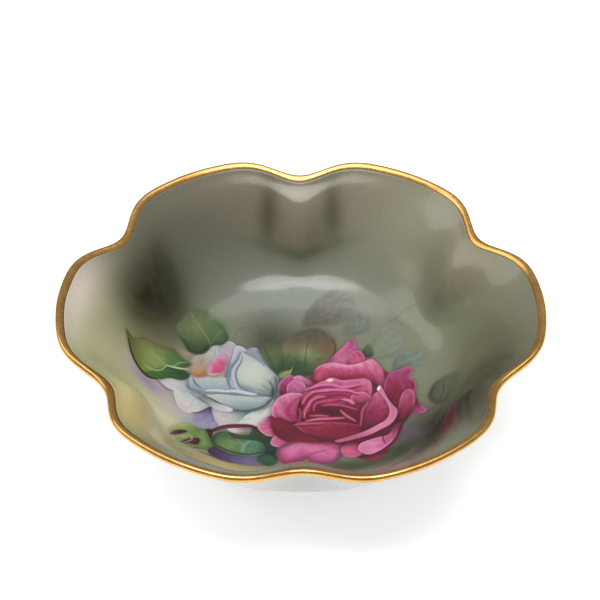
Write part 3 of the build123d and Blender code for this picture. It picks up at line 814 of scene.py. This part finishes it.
def add_piece(name, points, quads, triangles, nodes, colour=None):
    """A smooth-shaded mesh from points in millimetres, riding on the body in place of its CAD solids."""
    mesh = bpy.data.meshes.new(name)
    mesh.vertices.add(len(points))
    mesh.vertices.foreach_set("co", (points * MM).astype(np.float32).ravel())
    corners = np.concatenate([quads.ravel(), triangles.ravel()])
    sizes = np.concatenate([np.full(len(quads), 4), np.full(len(triangles), 3)])
    mesh.loops.add(len(corners))
    mesh.loops.foreach_set("vertex_index", corners.astype(np.int32))
    mesh.polygons.add(len(sizes))
    mesh.polygons.foreach_set("loop_start", (np.cumsum(sizes) - sizes).astype(np.int32))
    mesh.polygons.foreach_set("loop_total", sizes.astype(np.int32))
    mesh.polygons.foreach_set("use_smooth", np.ones(len(sizes), bool))
    mesh.update()
    mesh.validate()
    if colour is not None:
        layer = mesh.color_attributes.new("painting", "FLOAT_COLOR", "POINT")
        with_alpha = np.column_stack([colour, np.ones(len(colour))])
        layer.data.foreach_set("color", with_alpha.astype(np.float32).ravel())
    piece = bpy.data.objects.new(name, mesh)
    bpy.context.collection.objects.link(piece)
    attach(piece, "root")
    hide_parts(*nodes)
    print(f"{name}: {len(quads) * 2 + len(triangles)} triangles")
    return piece


def linear(colour):
    """Screen colours, 0 to 255, as the linear light values that Blender mixes."""
    share = np.clip(np.asarray(colour, float) / 255, 0, 1)
    return np.where(share <= 0.04045, share / 12.92, ((share + 0.055) / 1.055) ** 2.4)


NO_TRIANGLES = np.zeros((0, 3), int)
print("quads between two rings of four:", ring_faces(2, 4, False).tolist())
print("the base colour in linear light:", linear(OLIVE_GREY).round(3))

# %% [markdown]
# Five finishes make the bowl: clear glaze over white clay, the bare clay that it stands on, enamel painted
# under a soft gloss, thicker enamel on the flowers, and burnished gold. Each is a Principled shader. Noise
# on Object coordinates gives what a kiln gives: a glaze that isn't quite level, specks of iron, and gold
# that has been rubbed by hand.

# %% A short way to write node materials
class Finish:
    """A material with a Principled shader, and helpers that add one node and give back its output."""

    def __init__(self, name, **constants):
        self.material = bpy.data.materials.new(name)
        self.material.use_nodes = True
        self.tree = self.material.node_tree
        self.shader = self.tree.nodes["Principled BSDF"]
        for socket, value in constants.items():
            self.shader.inputs[socket.replace("_", " ")].default_value = value

    def node(self, kind, output, settings=None, **inputs):
        """A node of a kind, its settings and its inputs: an input is a value or another node's output.
        Inputs that share a name are told apart by number, as i0 or i6."""
        made = self.tree.nodes.new(kind)
        for name, value in (settings or {}).items():
            setattr(made, name, value)
        for name, value in inputs.items():
            by_number = name[0] == "i" and name[1:].isdigit()
            socket = made.inputs[int(name[1:]) if by_number else name]
            if isinstance(value, bpy.types.NodeSocket):
                self.tree.links.new(value, socket)
            else:
                socket.default_value = value
        return made.outputs[output]

    def places(self):
        """Object coordinates in metres."""
        return self.node("ShaderNodeTexCoord", "Object")

    def noise(self, size_mm, detail=3.0, roughness=0.5, stretch=None):
        """Cloudy noise whose patches are about size_mm across, stretched along the axes if asked."""
        places = self.places()
        if stretch:
            places = self.node("ShaderNodeMapping", "Vector", Vector=places, Scale=stretch)
        return self.node("ShaderNodeTexNoise", "Fac", Vector=places, Scale=1000.0 / size_mm, Detail=detail,
                         Roughness=roughness)

    def between(self, value, low, high, out_low, out_high):
        """A value from low to high, carried over to a range of its own and clamped to it."""
        return self.node("ShaderNodeMapRange", "Result", None, i0=value, i1=low, i2=high, i3=out_low,
                         i4=out_high)

    def mix(self, share, first, second):
        """Two colours mixed by a share."""
        return self.node("ShaderNodeMix", 2, {"data_type": "RGBA"}, i0=share, i6=first, i7=second)

    def bump(self, height, millimetres, strength=1.0, under=None):
        """A normal that leans with a height of so many millimetres."""
        inputs = {"Height": height, "Distance": millimetres * MM, "Strength": strength}
        if under is not None:
            inputs["Normal"] = under
        return self.node("ShaderNodeBump", "Normal", **inputs)

    def connect(self, **sockets):
        """Links outputs to the shader and gives back the material."""
        for socket, output in sockets.items():
            self.tree.links.new(output, self.shader.inputs[socket.replace("_", " ")])
        return self.material


print("a finish can add:", ", ".join(name for name in vars(Finish) if not name.startswith("_")))

# %% [markdown]
# Clear glaze on white clay looks plain, but it isn't a flat white: it pools a little greener where it lies
# thick, swells gently, and carries a rare speck. A single colour would look like plastic.

# %% The glaze
def glazed_porcelain():
    """White clay under clear glaze, a little greener where the glaze lies thick, with rare iron specks."""
    finish = Finish("glazed_porcelain", IOR=1.5)
    cloud = finish.noise(38, 4.0)
    white = finish.mix(finish.between(cloud, 0.3, 0.7, 0.0, 1.0), (0.58, 0.575, 0.55, 1),
                       (0.52, 0.535, 0.515, 1))
    speck = finish.between(finish.noise(1.1, 2.0), 0.76, 0.8, 0.0, 0.6)
    colour = finish.mix(speck, white, (0.30, 0.24, 0.17, 1))
    swell = finish.bump(finish.noise(9, 2.0), 0.05)
    rough = finish.between(finish.noise(5, 3.0), 0.3, 0.7, 0.08, 0.16)
    fine = finish.bump(finish.noise(0.9), 0.004, 1.0, swell)
    return finish.connect(Base_Color=colour, Roughness=rough, Normal=fine)


PORCELAIN = glazed_porcelain()
print("nodes in the glaze:", len(PORCELAIN.node_tree.nodes))

# %% [markdown]
# The foot is wiped clean of glaze where it stands, so that it doesn't fuse to the kiln shelf, and then
# ground flat. The height above the table tells the two apart, with a wobble, so no second material or mask
# is needed.

# %% The foot's glaze and bare clay
def foot_finish():
    """Glaze down the sides and, on the ground face, bare biscuit with a grain and a grey rub."""
    finish = Finish("foot_glaze_and_biscuit", IOR=1.5)
    height = finish.node("ShaderNodeSeparateXYZ", "Z", Vector=finish.places())
    wobble = finish.between(finish.noise(6, 3.0), 0.2, 0.8, -0.0002, 0.0003)
    wavering = finish.node("ShaderNodeMath", "Value", {"operation": "ADD"}, i0=height, i1=wobble)
    bare = finish.between(wavering, 0.0004, 0.0007, 1.0, 0.0)
    grain = finish.noise(0.5, 4.0, 0.7)
    biscuit = finish.mix(finish.between(grain, 0.3, 0.7, 0, 1), (0.66, 0.61, 0.53, 1), (0.78, 0.74, 0.67, 1))
    rubbed = finish.mix(finish.between(finish.noise(14, 4.0), 0.5, 0.72, 0, 0.5), biscuit,
                        (0.45, 0.43, 0.40, 1))
    cloud = finish.between(finish.noise(30), 0.3, 0.7, 0, 1)
    glaze = finish.mix(cloud, (0.58, 0.575, 0.55, 1), (0.51, 0.525, 0.505, 1))
    rough = finish.node("ShaderNodeMix", "Result", None, i0=bare, i2=0.13, i3=0.82)
    level = finish.between(bare, 0.0, 1.0, 0.1, 1.0)
    lean = finish.node("ShaderNodeBump", "Normal", Height=grain, Distance=0.05 * MM, Strength=level)
    return finish.connect(Base_Color=finish.mix(bare, glaze, rubbed), Roughness=rough, Normal=lean)


FOOT = foot_finish()
print("nodes in the foot's finish:", len(FOOT.node_tree.nodes))

# %% [markdown]
# Gold is all reflection, so its colour is the colour of what it mirrors, warmed. What makes it look fired
# and rubbed, and not like a chrome trim, is a shine that changes along the rim and thin places where it
# wore.

# %% The gold
def burnished_gold():
    """Gold with cloudy warmth, patches of duller shine, and thin places where it looks brown."""
    finish = Finish("burnished_gold", Metallic=1.0)
    cloud = finish.noise(11, 4.0)
    warm = finish.mix(finish.between(cloud, 0.32, 0.68, 0, 1), (0.60, 0.31, 0.085, 1),
                      (0.76, 0.44, 0.145, 1))
    thin = finish.between(finish.noise(2.2, 5.0, 0.65), 0.60, 0.78, 0.0, 0.5)
    colour = finish.mix(thin, warm, (0.30, 0.16, 0.05, 1))
    rough = finish.between(finish.noise(3.0, 5.0, 0.6), 0.3, 0.75, 0.13, 0.34)
    brush = finish.bump(finish.noise(0.7, 3.0), 0.006)
    dents = finish.bump(finish.noise(6.0), 0.05, 1.0, brush)
    return finish.connect(Base_Color=colour, Roughness=rough, Normal=dents)


GOLD = burnished_gold()
print("nodes in the gold:", len(GOLD.node_tree.nodes))

# %% [markdown]
# Enamel sinks into the glaze in the kiln and comes out with a gloss of its own. The picture is already in
# the mesh's colours, so the material only adds what is finer than the mesh: the drag of the brush, specks
# and shine.

# %% The painted finishes
def enamel(name, rough_low, rough_high, streak_mm, streak, ripple):
    """The painting's own colours with the drag of the brush in them, fine specks, and a varying gloss."""
    finish = Finish(name, IOR=1.5)
    painted = finish.node("ShaderNodeAttribute", "Color", {"attribute_name": "painting"})
    drag = finish.noise(streak_mm, 5.0, 0.62, (1.0, 2.6, 1.6))
    tone = finish.between(drag, 0.3, 0.7, 1 - streak, 1 + streak)
    toned = finish.node("ShaderNodeVectorMath", "Vector", {"operation": "SCALE"}, Vector=painted, Scale=tone)
    speck = finish.between(finish.noise(0.9, 2.0), 0.68, 0.76, 0.0, 0.5)
    colour = finish.mix(speck, toned, (0.035, 0.032, 0.022, 1))
    rough = finish.between(finish.noise(4, 4.0), 0.3, 0.7, rough_low, rough_high)
    level = finish.bump(finish.noise(7, 2.0), ripple)
    return finish.connect(Base_Color=colour, Roughness=rough, Normal=finish.bump(drag, 0.003, 1.0, level))


GROUND_COLOUR_AND_SHADE = enamel("ground_colour", 0.12, 0.20, 1.8, 0.07, 0.05)
PINK_ENAMEL = enamel("pink_enamel", 0.09, 0.15, 1.3, 0.10, 0.02)
WHITE_ENAMEL = enamel("white_enamel", 0.09, 0.15, 1.5, 0.05, 0.02)
GREEN_ENAMEL = enamel("green_enamel", 0.09, 0.15, 1.3, 0.10, 0.02)
print("finishes:", ", ".join(m.name for m in bpy.data.materials if m.use_nodes))

# %% [markdown]
# The clay itself comes first: the outside, the lip and the inside as one skin, closed under the foot. Its
# rings lie closer together over the lip, where the sheet turns right round within four millimetres.

# %% The porcelain body
ANGLES_ROUND = 480


def rings(stations, columns):
    """Along and angle for every vertex of a stack of rings."""
    angles = 2 * np.pi * np.arange(columns) / columns
    return np.meshgrid(stations, angles, indexing="ij")


def make_bowl_body():
    """Rings up the outside, over the lip, and down to the middle of the floor, and a flat underside to its
    pole."""
    stations = np.concatenate([np.linspace(0, 1, 40)[:-1], np.linspace(1, 2, 24)[:-1],
                               3 - np.linspace(1, 0, 80)[:-1]])
    along, angle = rings(stations, ANGLES_ROUND)
    skin = wall(along, angle)
    edge = skin[0]
    under = [edge * (share, share, 1.0) for share in (0.25, 0.5, 0.75, 0.94)]
    points = np.concatenate([np.stack(under), skin]).reshape(-1, 3)
    under_pole, floor_pole = len(points), len(points) + 1
    points = np.vstack([points, [[0, 0, edge[0, 2]], [0, 0, FLOOR_HEIGHT]]])
    count = len(stations) + len(under)
    triangles = np.vstack([
        pole_faces(0, ANGLES_ROUND, under_pole, True),
        pole_faces((count - 1) * ANGLES_ROUND, ANGLES_ROUND, floor_pole, False),
    ])
    quads = ring_faces(count, ANGLES_ROUND, False)
    return add_piece("Bowl_Body", points, quads, triangles, ["bowl_body"])


bowl_body = make_bowl_body()
bowl_body.data.materials.append(PORCELAIN)

# %% [markdown]
# The foot is a plain turned ring, so it is a profile carried round a circle: flat where it stands, rounded
# at both edges of the ground face, and leaning in a little on its way up to the bowl.

# %% The foot ring
FOOT_RADIUS = 67.4
FOOT_WIDTH = 5.2
FOOT_TAPER = 1.4
FOOT_HEIGHT = 7.6
FOOT_ROUNDING = 1.2
FOOT_ANGLES = 240
FOOT_SINK = 0.05


def quarter(centre, start, turn):
    """Quarter circle of the rounding radius, from a start angle through a turn, both in degrees."""
    angle = np.radians(np.linspace(start, start + turn, 7))
    return np.stack([centre[0] + FOOT_ROUNDING * np.cos(angle), centre[1] + FOOT_ROUNDING * np.sin(angle)],
                    axis=1)


def make_foot_ring():
    """The profile, counter-clockwise from the inner top, turned round the axis."""
    inner = FOOT_RADIUS - FOOT_WIDTH
    lean = FOOT_TAPER / FOOT_HEIGHT * FOOT_ROUNDING
    profile = np.vstack([[(inner - FOOT_TAPER, FOOT_HEIGHT + FOOT_SINK),
                          (inner - FOOT_TAPER / 2, FOOT_HEIGHT / 2)],
                         quarter((inner + FOOT_ROUNDING - lean, FOOT_ROUNDING), 180, 90),
                         quarter((FOOT_RADIUS - FOOT_ROUNDING - lean, FOOT_ROUNDING), 270, 90),
                         [(FOOT_RADIUS - FOOT_TAPER / 2, FOOT_HEIGHT / 2),
                          (FOOT_RADIUS - FOOT_TAPER, FOOT_HEIGHT + FOOT_SINK)],])
    angle = 2 * np.pi * np.arange(FOOT_ANGLES) / FOOT_ANGLES
    radius, height = profile[:, :1], profile[:, 1:]
    points = np.stack([radius * np.cos(angle), radius * np.sin(angle), height + 0 * angle], axis=-1)
    quads = ring_faces(len(profile), FOOT_ANGLES, True)[:, ::-1]
    return add_piece("Foot_Ring", points.reshape(-1, 3), quads, NO_TRIANGLES, ["foot_ring"])


foot_ring = make_foot_ring()
foot_ring.data.materials.append(FOOT)

# %% [markdown]
# Liquid gold is brushed over the lip and fired last, then rubbed bright. It is a skin a quarter of a
# millimetre thick here, thinning to nothing at its two edges, which a gilder's hand never keeps quite
# level.

# %% The gilt rim band
GOLD_AT_ITS_EDGE = 0.02
GOLD_THICKNESS = 0.25
GOLD_SINK = 0.05


def gold_lift(share):
    """Thickness in millimetres across the band, from 0 at one edge to 1 at the other: a soft step at
    each."""
    body = soft_step(0.0, 0.10, share) * soft_step(0.0, 0.10, 1 - share)
    return GOLD_AT_ITS_EDGE + (GOLD_THICKNESS - GOLD_AT_ITS_EDGE) * body


def make_gilt_rim_band():
    """The lip's rings raised by the gold, then every eighth ring back just inside the clay, closed into a
    loop. Sine waves round the rim shift the two edges."""
    along, angle = rings(np.linspace(0, 1, 40), ANGLES_ROUND * 2)
    outer_drift = 0.05 * np.sin(5 * angle + 1.0) + 0.03 * np.sin(17 * angle)
    inner_drift = 0.014 * np.sin(7 * angle) + 0.008 * np.sin(23 * angle + 2.0)
    width = INNER_GOLD_EDGE - OUTER_GOLD_EDGE
    station = OUTER_GOLD_EDGE + width * along + outer_drift * (1 - along) * 0.3 + inner_drift * along
    top = raised(station, angle, gold_lift(along))
    below = raised(station[::-8], angle[::-8], np.full(along[::-8].shape, -GOLD_SINK))
    points = np.concatenate([top, below])
    quads = ring_faces(len(points), ANGLES_ROUND * 2, True)
    points = points.reshape(-1, 3)
    return add_piece("Gilt_Rim_Band", points, quads, NO_TRIANGLES, ["gilt_rim_band"])


gilt_rim_band = make_gilt_rim_band()
gilt_rim_band.data.materials.append(GOLD)

# %% [markdown]
# Every coat of colour asks one and the same painting for its colours, so no join shows between them. The
# painting is flat and the bowl isn't, so a place is carried over by its distance from the middle, run off
# along the glaze, and by its direction. Unwrapping the mesh would give the same, with a seam somewhere.

# %% Where a place on the painting lies on the bowl
PICTURE = [paint_ground_and_shade, paint_distance, paint_white_rose, paint_leaves, paint_buds, paint_pink_rose]
LIP_LENGTH = LOBE_CUT.chord[KNOTS[2]] - LOBE_CUT.chord[KNOTS[1]]
TUCK = 0.06
UNDER_THE_GOLD = (PAINTING_EDGE - INNER_GOLD_EDGE + TUCK) * LIP_LENGTH


def on_the_bowl(u, v, lift):
    """Points in millimetres for places on the flat painting: the distance from its middle is the way up the
    glaze, and its direction is the direction round the bowl."""
    reach = np.hypot(u, v) / INSIDE_LENGTH
    past = np.maximum(reach - 1.0, 0.0) * INSIDE_LENGTH / LIP_LENGTH
    along = FLOOR_CENTRE - np.minimum(reach, 1.0) - past
    return raised(along, np.arctan2(v, u), lift)


def painted(u, v):
    """Linear colours of the whole painting at many places, laid on from the ground up."""
    picture = Painting(u.ravel(), v.ravel(), OLIVE_GREY)
    for layer in PICTURE:
        layer(picture)
    return linear(picture.colour).reshape(*u.shape, 3)


print(f"the painting runs {UNDER_THE_GOLD:.1f} mm past the inside's edge, which takes it under the gold")

# %% [markdown]
# A coat of colour is a closed skin: fine rings on top, which carry the picture, and coarse ones just inside
# what lies below, joined round the rim. Solidify could give it its thickness, but not one that dies away at
# the edge.

# %% A closed skin
MIDDLE_OUT = slice(None, None, -4)


def closed_skin(top, below, top_pole, below_pole):
    """Points and faces of a skin from two stacks of rings: the top's run from the rim to its pole, and the
    ones below from their pole back out, where the last is joined to the rim."""
    rows, columns = top.shape[:2]
    lower_rows = len(below)
    points = np.vstack([top.reshape(-1, 3), top_pole, below.reshape(-1, 3), below_pole])
    pole = rows * columns
    first_below = pole + 1
    last_below = first_below + (lower_rows - 1) * columns
    seam = np.arange(columns)
    after = (seam + 1) % columns
    quads = np.vstack([
        ring_faces(rows, columns, False),
        ring_faces(lower_rows, columns, False) + first_below,
        np.stack([last_below + seam, last_below + after, after, seam], axis=-1),
    ])
    triangles = np.vstack([
        pole_faces(pole - columns, columns, pole, False),
        pole_faces(first_below, columns, len(points) - 1, True),
    ])
    return points, quads, triangles


def skin_colours(shown, count, middle):
    """Colours for all points of a closed skin: the picture on the top rings, one colour at the top's pole,
    and the plain base colour below, where nothing shows."""
    colour = np.zeros((count, 3)) + linear(OLIVE_GREY)
    seen = shown.size // 3
    colour[:seen] = shown.reshape(-1, 3)
    colour[seen] = middle
    return colour


tent = closed_skin(np.zeros((4, 6, 3)), np.zeros((1, 6, 3)), [(0, 0, 1)], [(0, 0, 0)])
print("points, quads and triangles of a small skin:", [len(part) for part in tent])

# %% [markdown]
# The ground colour, with the painted shade and highlight in its flutes, covers the whole inside, from just
# under the gold. Its grid is fine enough to carry the soft clouds and the pale leaves in the distance.

# %% The painted ground
GROUND_LIFT = 0.20
GROUND_DEPTH = 0.15
GROUND_RIM_LIFT = 0.02


def make_painted_ground(rows, columns):
    """Polar grid of the inside, a little closer together at the rim, down to the floor's middle."""
    reach = (INSIDE_LENGTH + UNDER_THE_GOLD) * np.linspace(1.0, 0.0, rows + 1)[:-1] ** 0.97
    far, angle = rings(reach, columns)
    u, v = far * np.cos(angle), far * np.sin(angle)
    top = on_the_bowl(u, v, np.where(far > reach[1], GROUND_RIM_LIFT, GROUND_LIFT))
    below = on_the_bowl(u[MIDDLE_OUT], v[MIDDLE_OUT], np.full(u[MIDDLE_OUT].shape, -GROUND_DEPTH))
    points, quads, triangles = closed_skin(
        top, below, [(0, 0, FLOOR_HEIGHT + GROUND_LIFT)], [(0, 0, FLOOR_HEIGHT - GROUND_DEPTH)])
    shown = painted(u, v)
    colour = skin_colours(shown, len(points), shown[-1, -1])
    return add_piece("Painted_Ground", points, quads, triangles, ["painted_ground"], colour)


painted_ground = make_painted_ground(152, 512)
painted_ground.data.materials.append(GROUND_COLOUR_AND_SHADE)

# %% [markdown]
# Rose enamel is laid on thicker than the ground, and a finger feels it. Each flower gets a lens of its own
# over the ground, a little wider than the flower, so that the lens's edge lies in the plain ground colour.
# Its outline is round enough for straight spokes to reach all of it from one centre. Light petals stand a
# little higher than dark ones, because white and pink are loaded on with more body.

# %% The flower skins
FLOWER_START = 0.19


def spread_round(outline, columns):
    """Evenly spaced places on a smooth closed outline, by its running length."""
    line = smooth_line(outline, 24, True)
    closed = np.vstack([line, line[:1]])
    length = np.concatenate([[0.0], np.cumsum(np.linalg.norm(np.diff(closed, axis=0), axis=1))])
    at = np.linspace(0, length[-1], columns, endpoint=False)
    return np.stack([np.interp(at, length, closed[:, k]) for k in range(2)], axis=1)


def make_flower(name, outline, centre, rows, columns, thickness, nodes):
    """A lens of enamel: spokes run from a centre to a smooth outline, and the thickness falls to nothing
    there. Its underside lies on the clay, just inside the ground colour."""
    share = np.linspace(1.0, 0.0, rows + 1)[:-1]
    place = np.asarray(centre, float) + share[:, None, None] * (spread_round(outline, columns) - centre)
    u, v = place[..., 0], place[..., 1]
    colour = painted(u, v)
    edge = soft_step(0.0, 0.12, 1 - share)[:, None]
    body = 0.88 + 0.12 * soft_step(0.05, 0.6, colour.mean(axis=2))
    top = on_the_bowl(u, v, FLOWER_START + thickness * edge * body)
    below = on_the_bowl(u[MIDDLE_OUT], v[MIDDLE_OUT], np.zeros(u[MIDDLE_OUT].shape))
    middle_u, middle_v = np.full((2, 2), centre, float).T
    poles = on_the_bowl(middle_u, middle_v, np.array([FLOWER_START + thickness * 0.8, 0.0]))
    points, quads, triangles = closed_skin(top, below, poles[:1], poles[1:])
    shown = skin_colours(colour, len(points), colour[-1, 0])
    return add_piece(name, points, quads, triangles, nodes, shown)


first_places = spread_round([(0, 0), (10, 0), (10, 10), (0, 10)], 4)
print("four even places round a rounded 10 mm square:", first_places.round(1).tolist())

# %% [markdown]
# The bouquet has four raised parts: the two roses, the bright leaf on the left, and the buds with their
# stem. Each outline is drawn a few millimetres outside the flower, through as few places as its shape
# needs.

# %% The four flowers
PINK_SKIN = [(30, 43), (12, 36), (-4, 22), (-18, 4), (-28, -18), (-30, -38), (-22, -56), (-8, -68),
             (14, -71), (38, -68), (58, -56), (72, -38), (76, -22), (72, 0), (62, 22), (46, 37)]
WHITE_SKIN = [(-58, 38), (-42, 40), (-27, 37), (-16, 24), (-10, 6), (-12, -12), (-19, -25), (-32, -29),
              (-46, -30), (-60, -31), (-72, -24), (-82, -10), (-76, 4), (-69, 20)]
LEAF_SKIN = [(-107, 14), (-98, 22), (-85, 26), (-73, 24), (-68, 14), (-69, 2), (-78, -6), (-89, -8),
             (-99, -4), (-106, 5)]
BUD_SKIN = [(-80, -50), (-75, -39), (-62, -33), (-46, -30.5), (-33, -29.5), (-24, -34), (-19, -44),
            (-20, -54), (-30, -60), (-48, -62), (-66, -62), (-77, -58)]

pink_rose = make_flower("Pink_Rose", PINK_SKIN, (20, -16), 120, 480, 0.16, ["pink_rose"])
pink_rose.data.materials.append(PINK_ENAMEL)
white_rose = make_flower("White_Rose", WHITE_SKIN, (-44, 4), 96, 400, 0.16, ["white_rose"])
white_rose.data.materials.append(WHITE_ENAMEL)
rose_leaf = make_flower("Rose_Leaf", LEAF_SKIN, (-86, 9), 60, 288, 0.12, ["rose_leaf"])
rose_leaf.data.materials.append(GREEN_ENAMEL)
rose_buds = make_flower("Rose_Buds", BUD_SKIN, (-48, -46), 72, 400, 0.12, ["rose_buds"])
rose_buds.data.materials.append(GREEN_ENAMEL)

# %% [markdown]
# The bowl stands on a plain pale floor, six metres wide. A floor that is only white goes grey in the bowl's
# own shadow, so this one also gives off a little light, as a lit studio sweep does.

# %% The floor
FLOOR_HALF_WIDTH = 3


def make_floor():
    """A plain square, far wider than the camera sees."""
    mesh = bpy.data.meshes.new("floor")
    corners = [(-1, -1, 0), (1, -1, 0), (1, 1, 0), (-1, 1, 0)]
    spread = [(FLOOR_HALF_WIDTH * x, FLOOR_HALF_WIDTH * y, z) for x, y, z in corners]
    mesh.from_pydata(spread, [], [(0, 1, 2, 3)])
    floor = bpy.data.objects.new("floor", mesh)
    bpy.context.collection.objects.link(floor)
    finish = Finish("pale_floor", Roughness=0.9)
    cloud = finish.between(finish.noise(60), 0.3, 0.7, 0, 1)
    tone = finish.mix(cloud, (0.93, 0.93, 0.93, 1), (0.95, 0.95, 0.95, 1))
    finish.shader.inputs["Emission Color"].default_value = (1, 1, 1, 1)
    finish.shader.inputs["Emission Strength"].default_value = 0.42
    mesh.materials.append(finish.connect(Base_Color=tone))
    floor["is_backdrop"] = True
    return floor


floor = make_floor()
print("floor, metres across:", 2 * FLOOR_HALF_WIDTH)

# %% [markdown]
# Gloss is made by what it mirrors, so the light matters as much as the glaze. Two soft boxes almost
# straight above lie as one pale pool where the floor turns up into the far wall, a third from the left
# wakes the gold, and a pale surround fills the rest. They are ovals, because a square box would show its
# corners in the glaze.

# %% The surround and the lights
def make_surround(horizon, overhead):
    """A pale surround whose strength grows with height, from the horizon to overhead."""
    world = bpy.data.worlds.new("surround")
    bpy.context.scene.world = world
    world.use_nodes = True
    tree = world.node_tree
    direction = tree.nodes.new("ShaderNodeTexCoord")
    height = tree.nodes.new("ShaderNodeSeparateXYZ")
    level = tree.nodes.new("ShaderNodeMapRange")
    tree.links.new(direction.outputs["Generated"], height.inputs["Vector"])
    tree.links.new(height.outputs["Z"], level.inputs["Value"])
    level.inputs["From Min"].default_value = 0.0
    level.inputs["From Max"].default_value = 1.0
    level.inputs["To Min"].default_value = horizon
    level.inputs["To Max"].default_value = overhead
    shade = tree.nodes["Background"]
    shade.inputs["Color"].default_value = (0.95, 0.98, 1.0, 1)
    tree.links.new(level.outputs["Result"], shade.inputs["Strength"])


def soft_box(name, direction, distance, width, depth, power, colour):
    """An oval of light that faces the bowl from an azimuth and an elevation in degrees. Azimuth 0 is behind
    the bowl, and an elevation past 90 leans over to the front."""
    azimuth, elevation = np.radians(direction)
    light = bpy.data.lights.new(name, "AREA")
    light.shape = "ELLIPSE"
    light.size, light.size_y, light.energy, light.color = width, depth, power, colour
    lamp = bpy.data.objects.new(name, light)
    lamp.matrix_world = (
        Matrix.Rotation(-azimuth, 4, "Z")
        @ Matrix.Translation((0, np.cos(elevation) * distance, np.sin(elevation) * distance + 0.04))
        @ Matrix.Rotation(-(np.pi / 2 - elevation), 4, "X")
    )
    bpy.context.collection.objects.link(lamp)
    return lamp


make_surround(0.30, 0.50)
soft_box("high_soft_box", (0, 101), 1.25, 1.1, 0.55, 8, (1.0, 0.98, 0.94))
soft_box("wide_soft_box", (-12, 82), 1.3, 1.5, 0.9, 6, (0.97, 0.99, 1.0))
soft_box("left_soft_box", (-75, 40), 1.4, 1.1, 0.9, 4, (1.0, 0.97, 0.92))
bpy.context.scene.view_settings.view_transform = "Standard"
print("lights:", ", ".join(light.name for light in bpy.data.lights))

# %% [markdown]
# A long lens from well back keeps the near lobes from swelling. The camera stands in front and looks down
# past the near rim at the painting. It swings round the middle of the rim, so its distance, its height and
# its roll can each be changed alone.

# %% The camera
RIM_HEIGHT = 73.18 * MM
CAMERA_DISTANCE = 819.3 * MM
CAMERA_ELEVATION, CAMERA_AZIMUTH, CAMERA_ROLL = np.radians([42.118, -0.859, 0.603])
LENS_MM = 94.3
LENS_SHIFT = (-0.00188, 0.00467)


def make_camera():
    """Looks at the middle of the rim from in front and above, from the full distance of a long lens."""
    lens = bpy.data.cameras.new("camera")
    lens.sensor_width = 36.0
    lens.lens = LENS_MM
    lens.shift_x, lens.shift_y = LENS_SHIFT
    camera = bpy.data.objects.new("camera", lens)
    back = -np.cos(CAMERA_ELEVATION) * CAMERA_DISTANCE
    turn = Matrix.Rotation(CAMERA_AZIMUTH, 4, "Z")
    stand = Matrix.Translation((0, back, np.sin(CAMERA_ELEVATION) * CAMERA_DISTANCE))
    tilt = Euler((np.pi / 2 - CAMERA_ELEVATION, 0, 0)).to_matrix().to_4x4()
    camera.matrix_world = (
        Matrix.Translation((0, 0, RIM_HEIGHT)) @ turn @ stand @ tilt @ Matrix.Rotation(CAMERA_ROLL, 4, "Z")
    )
    bpy.context.collection.objects.link(camera)
    bpy.context.scene.camera = camera
    return camera


camera = make_camera()
print("camera, metres:", [round(part, 3) for part in camera.matrix_world.translation])

# %% [markdown]
# Frame and look have to fill the same space. Both boxes are measured and printed in millimetres, so a piece
# that is missing, or modelled in the wrong units, shows at once.

# %% Sizes, and the end of the script
visual_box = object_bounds()
for name, corners in (("frame", frame_box), ("visual", visual_box)):
    print(name, "size in mm:", [round((high - low) * 1000, 2) for low, high in zip(*corners)])
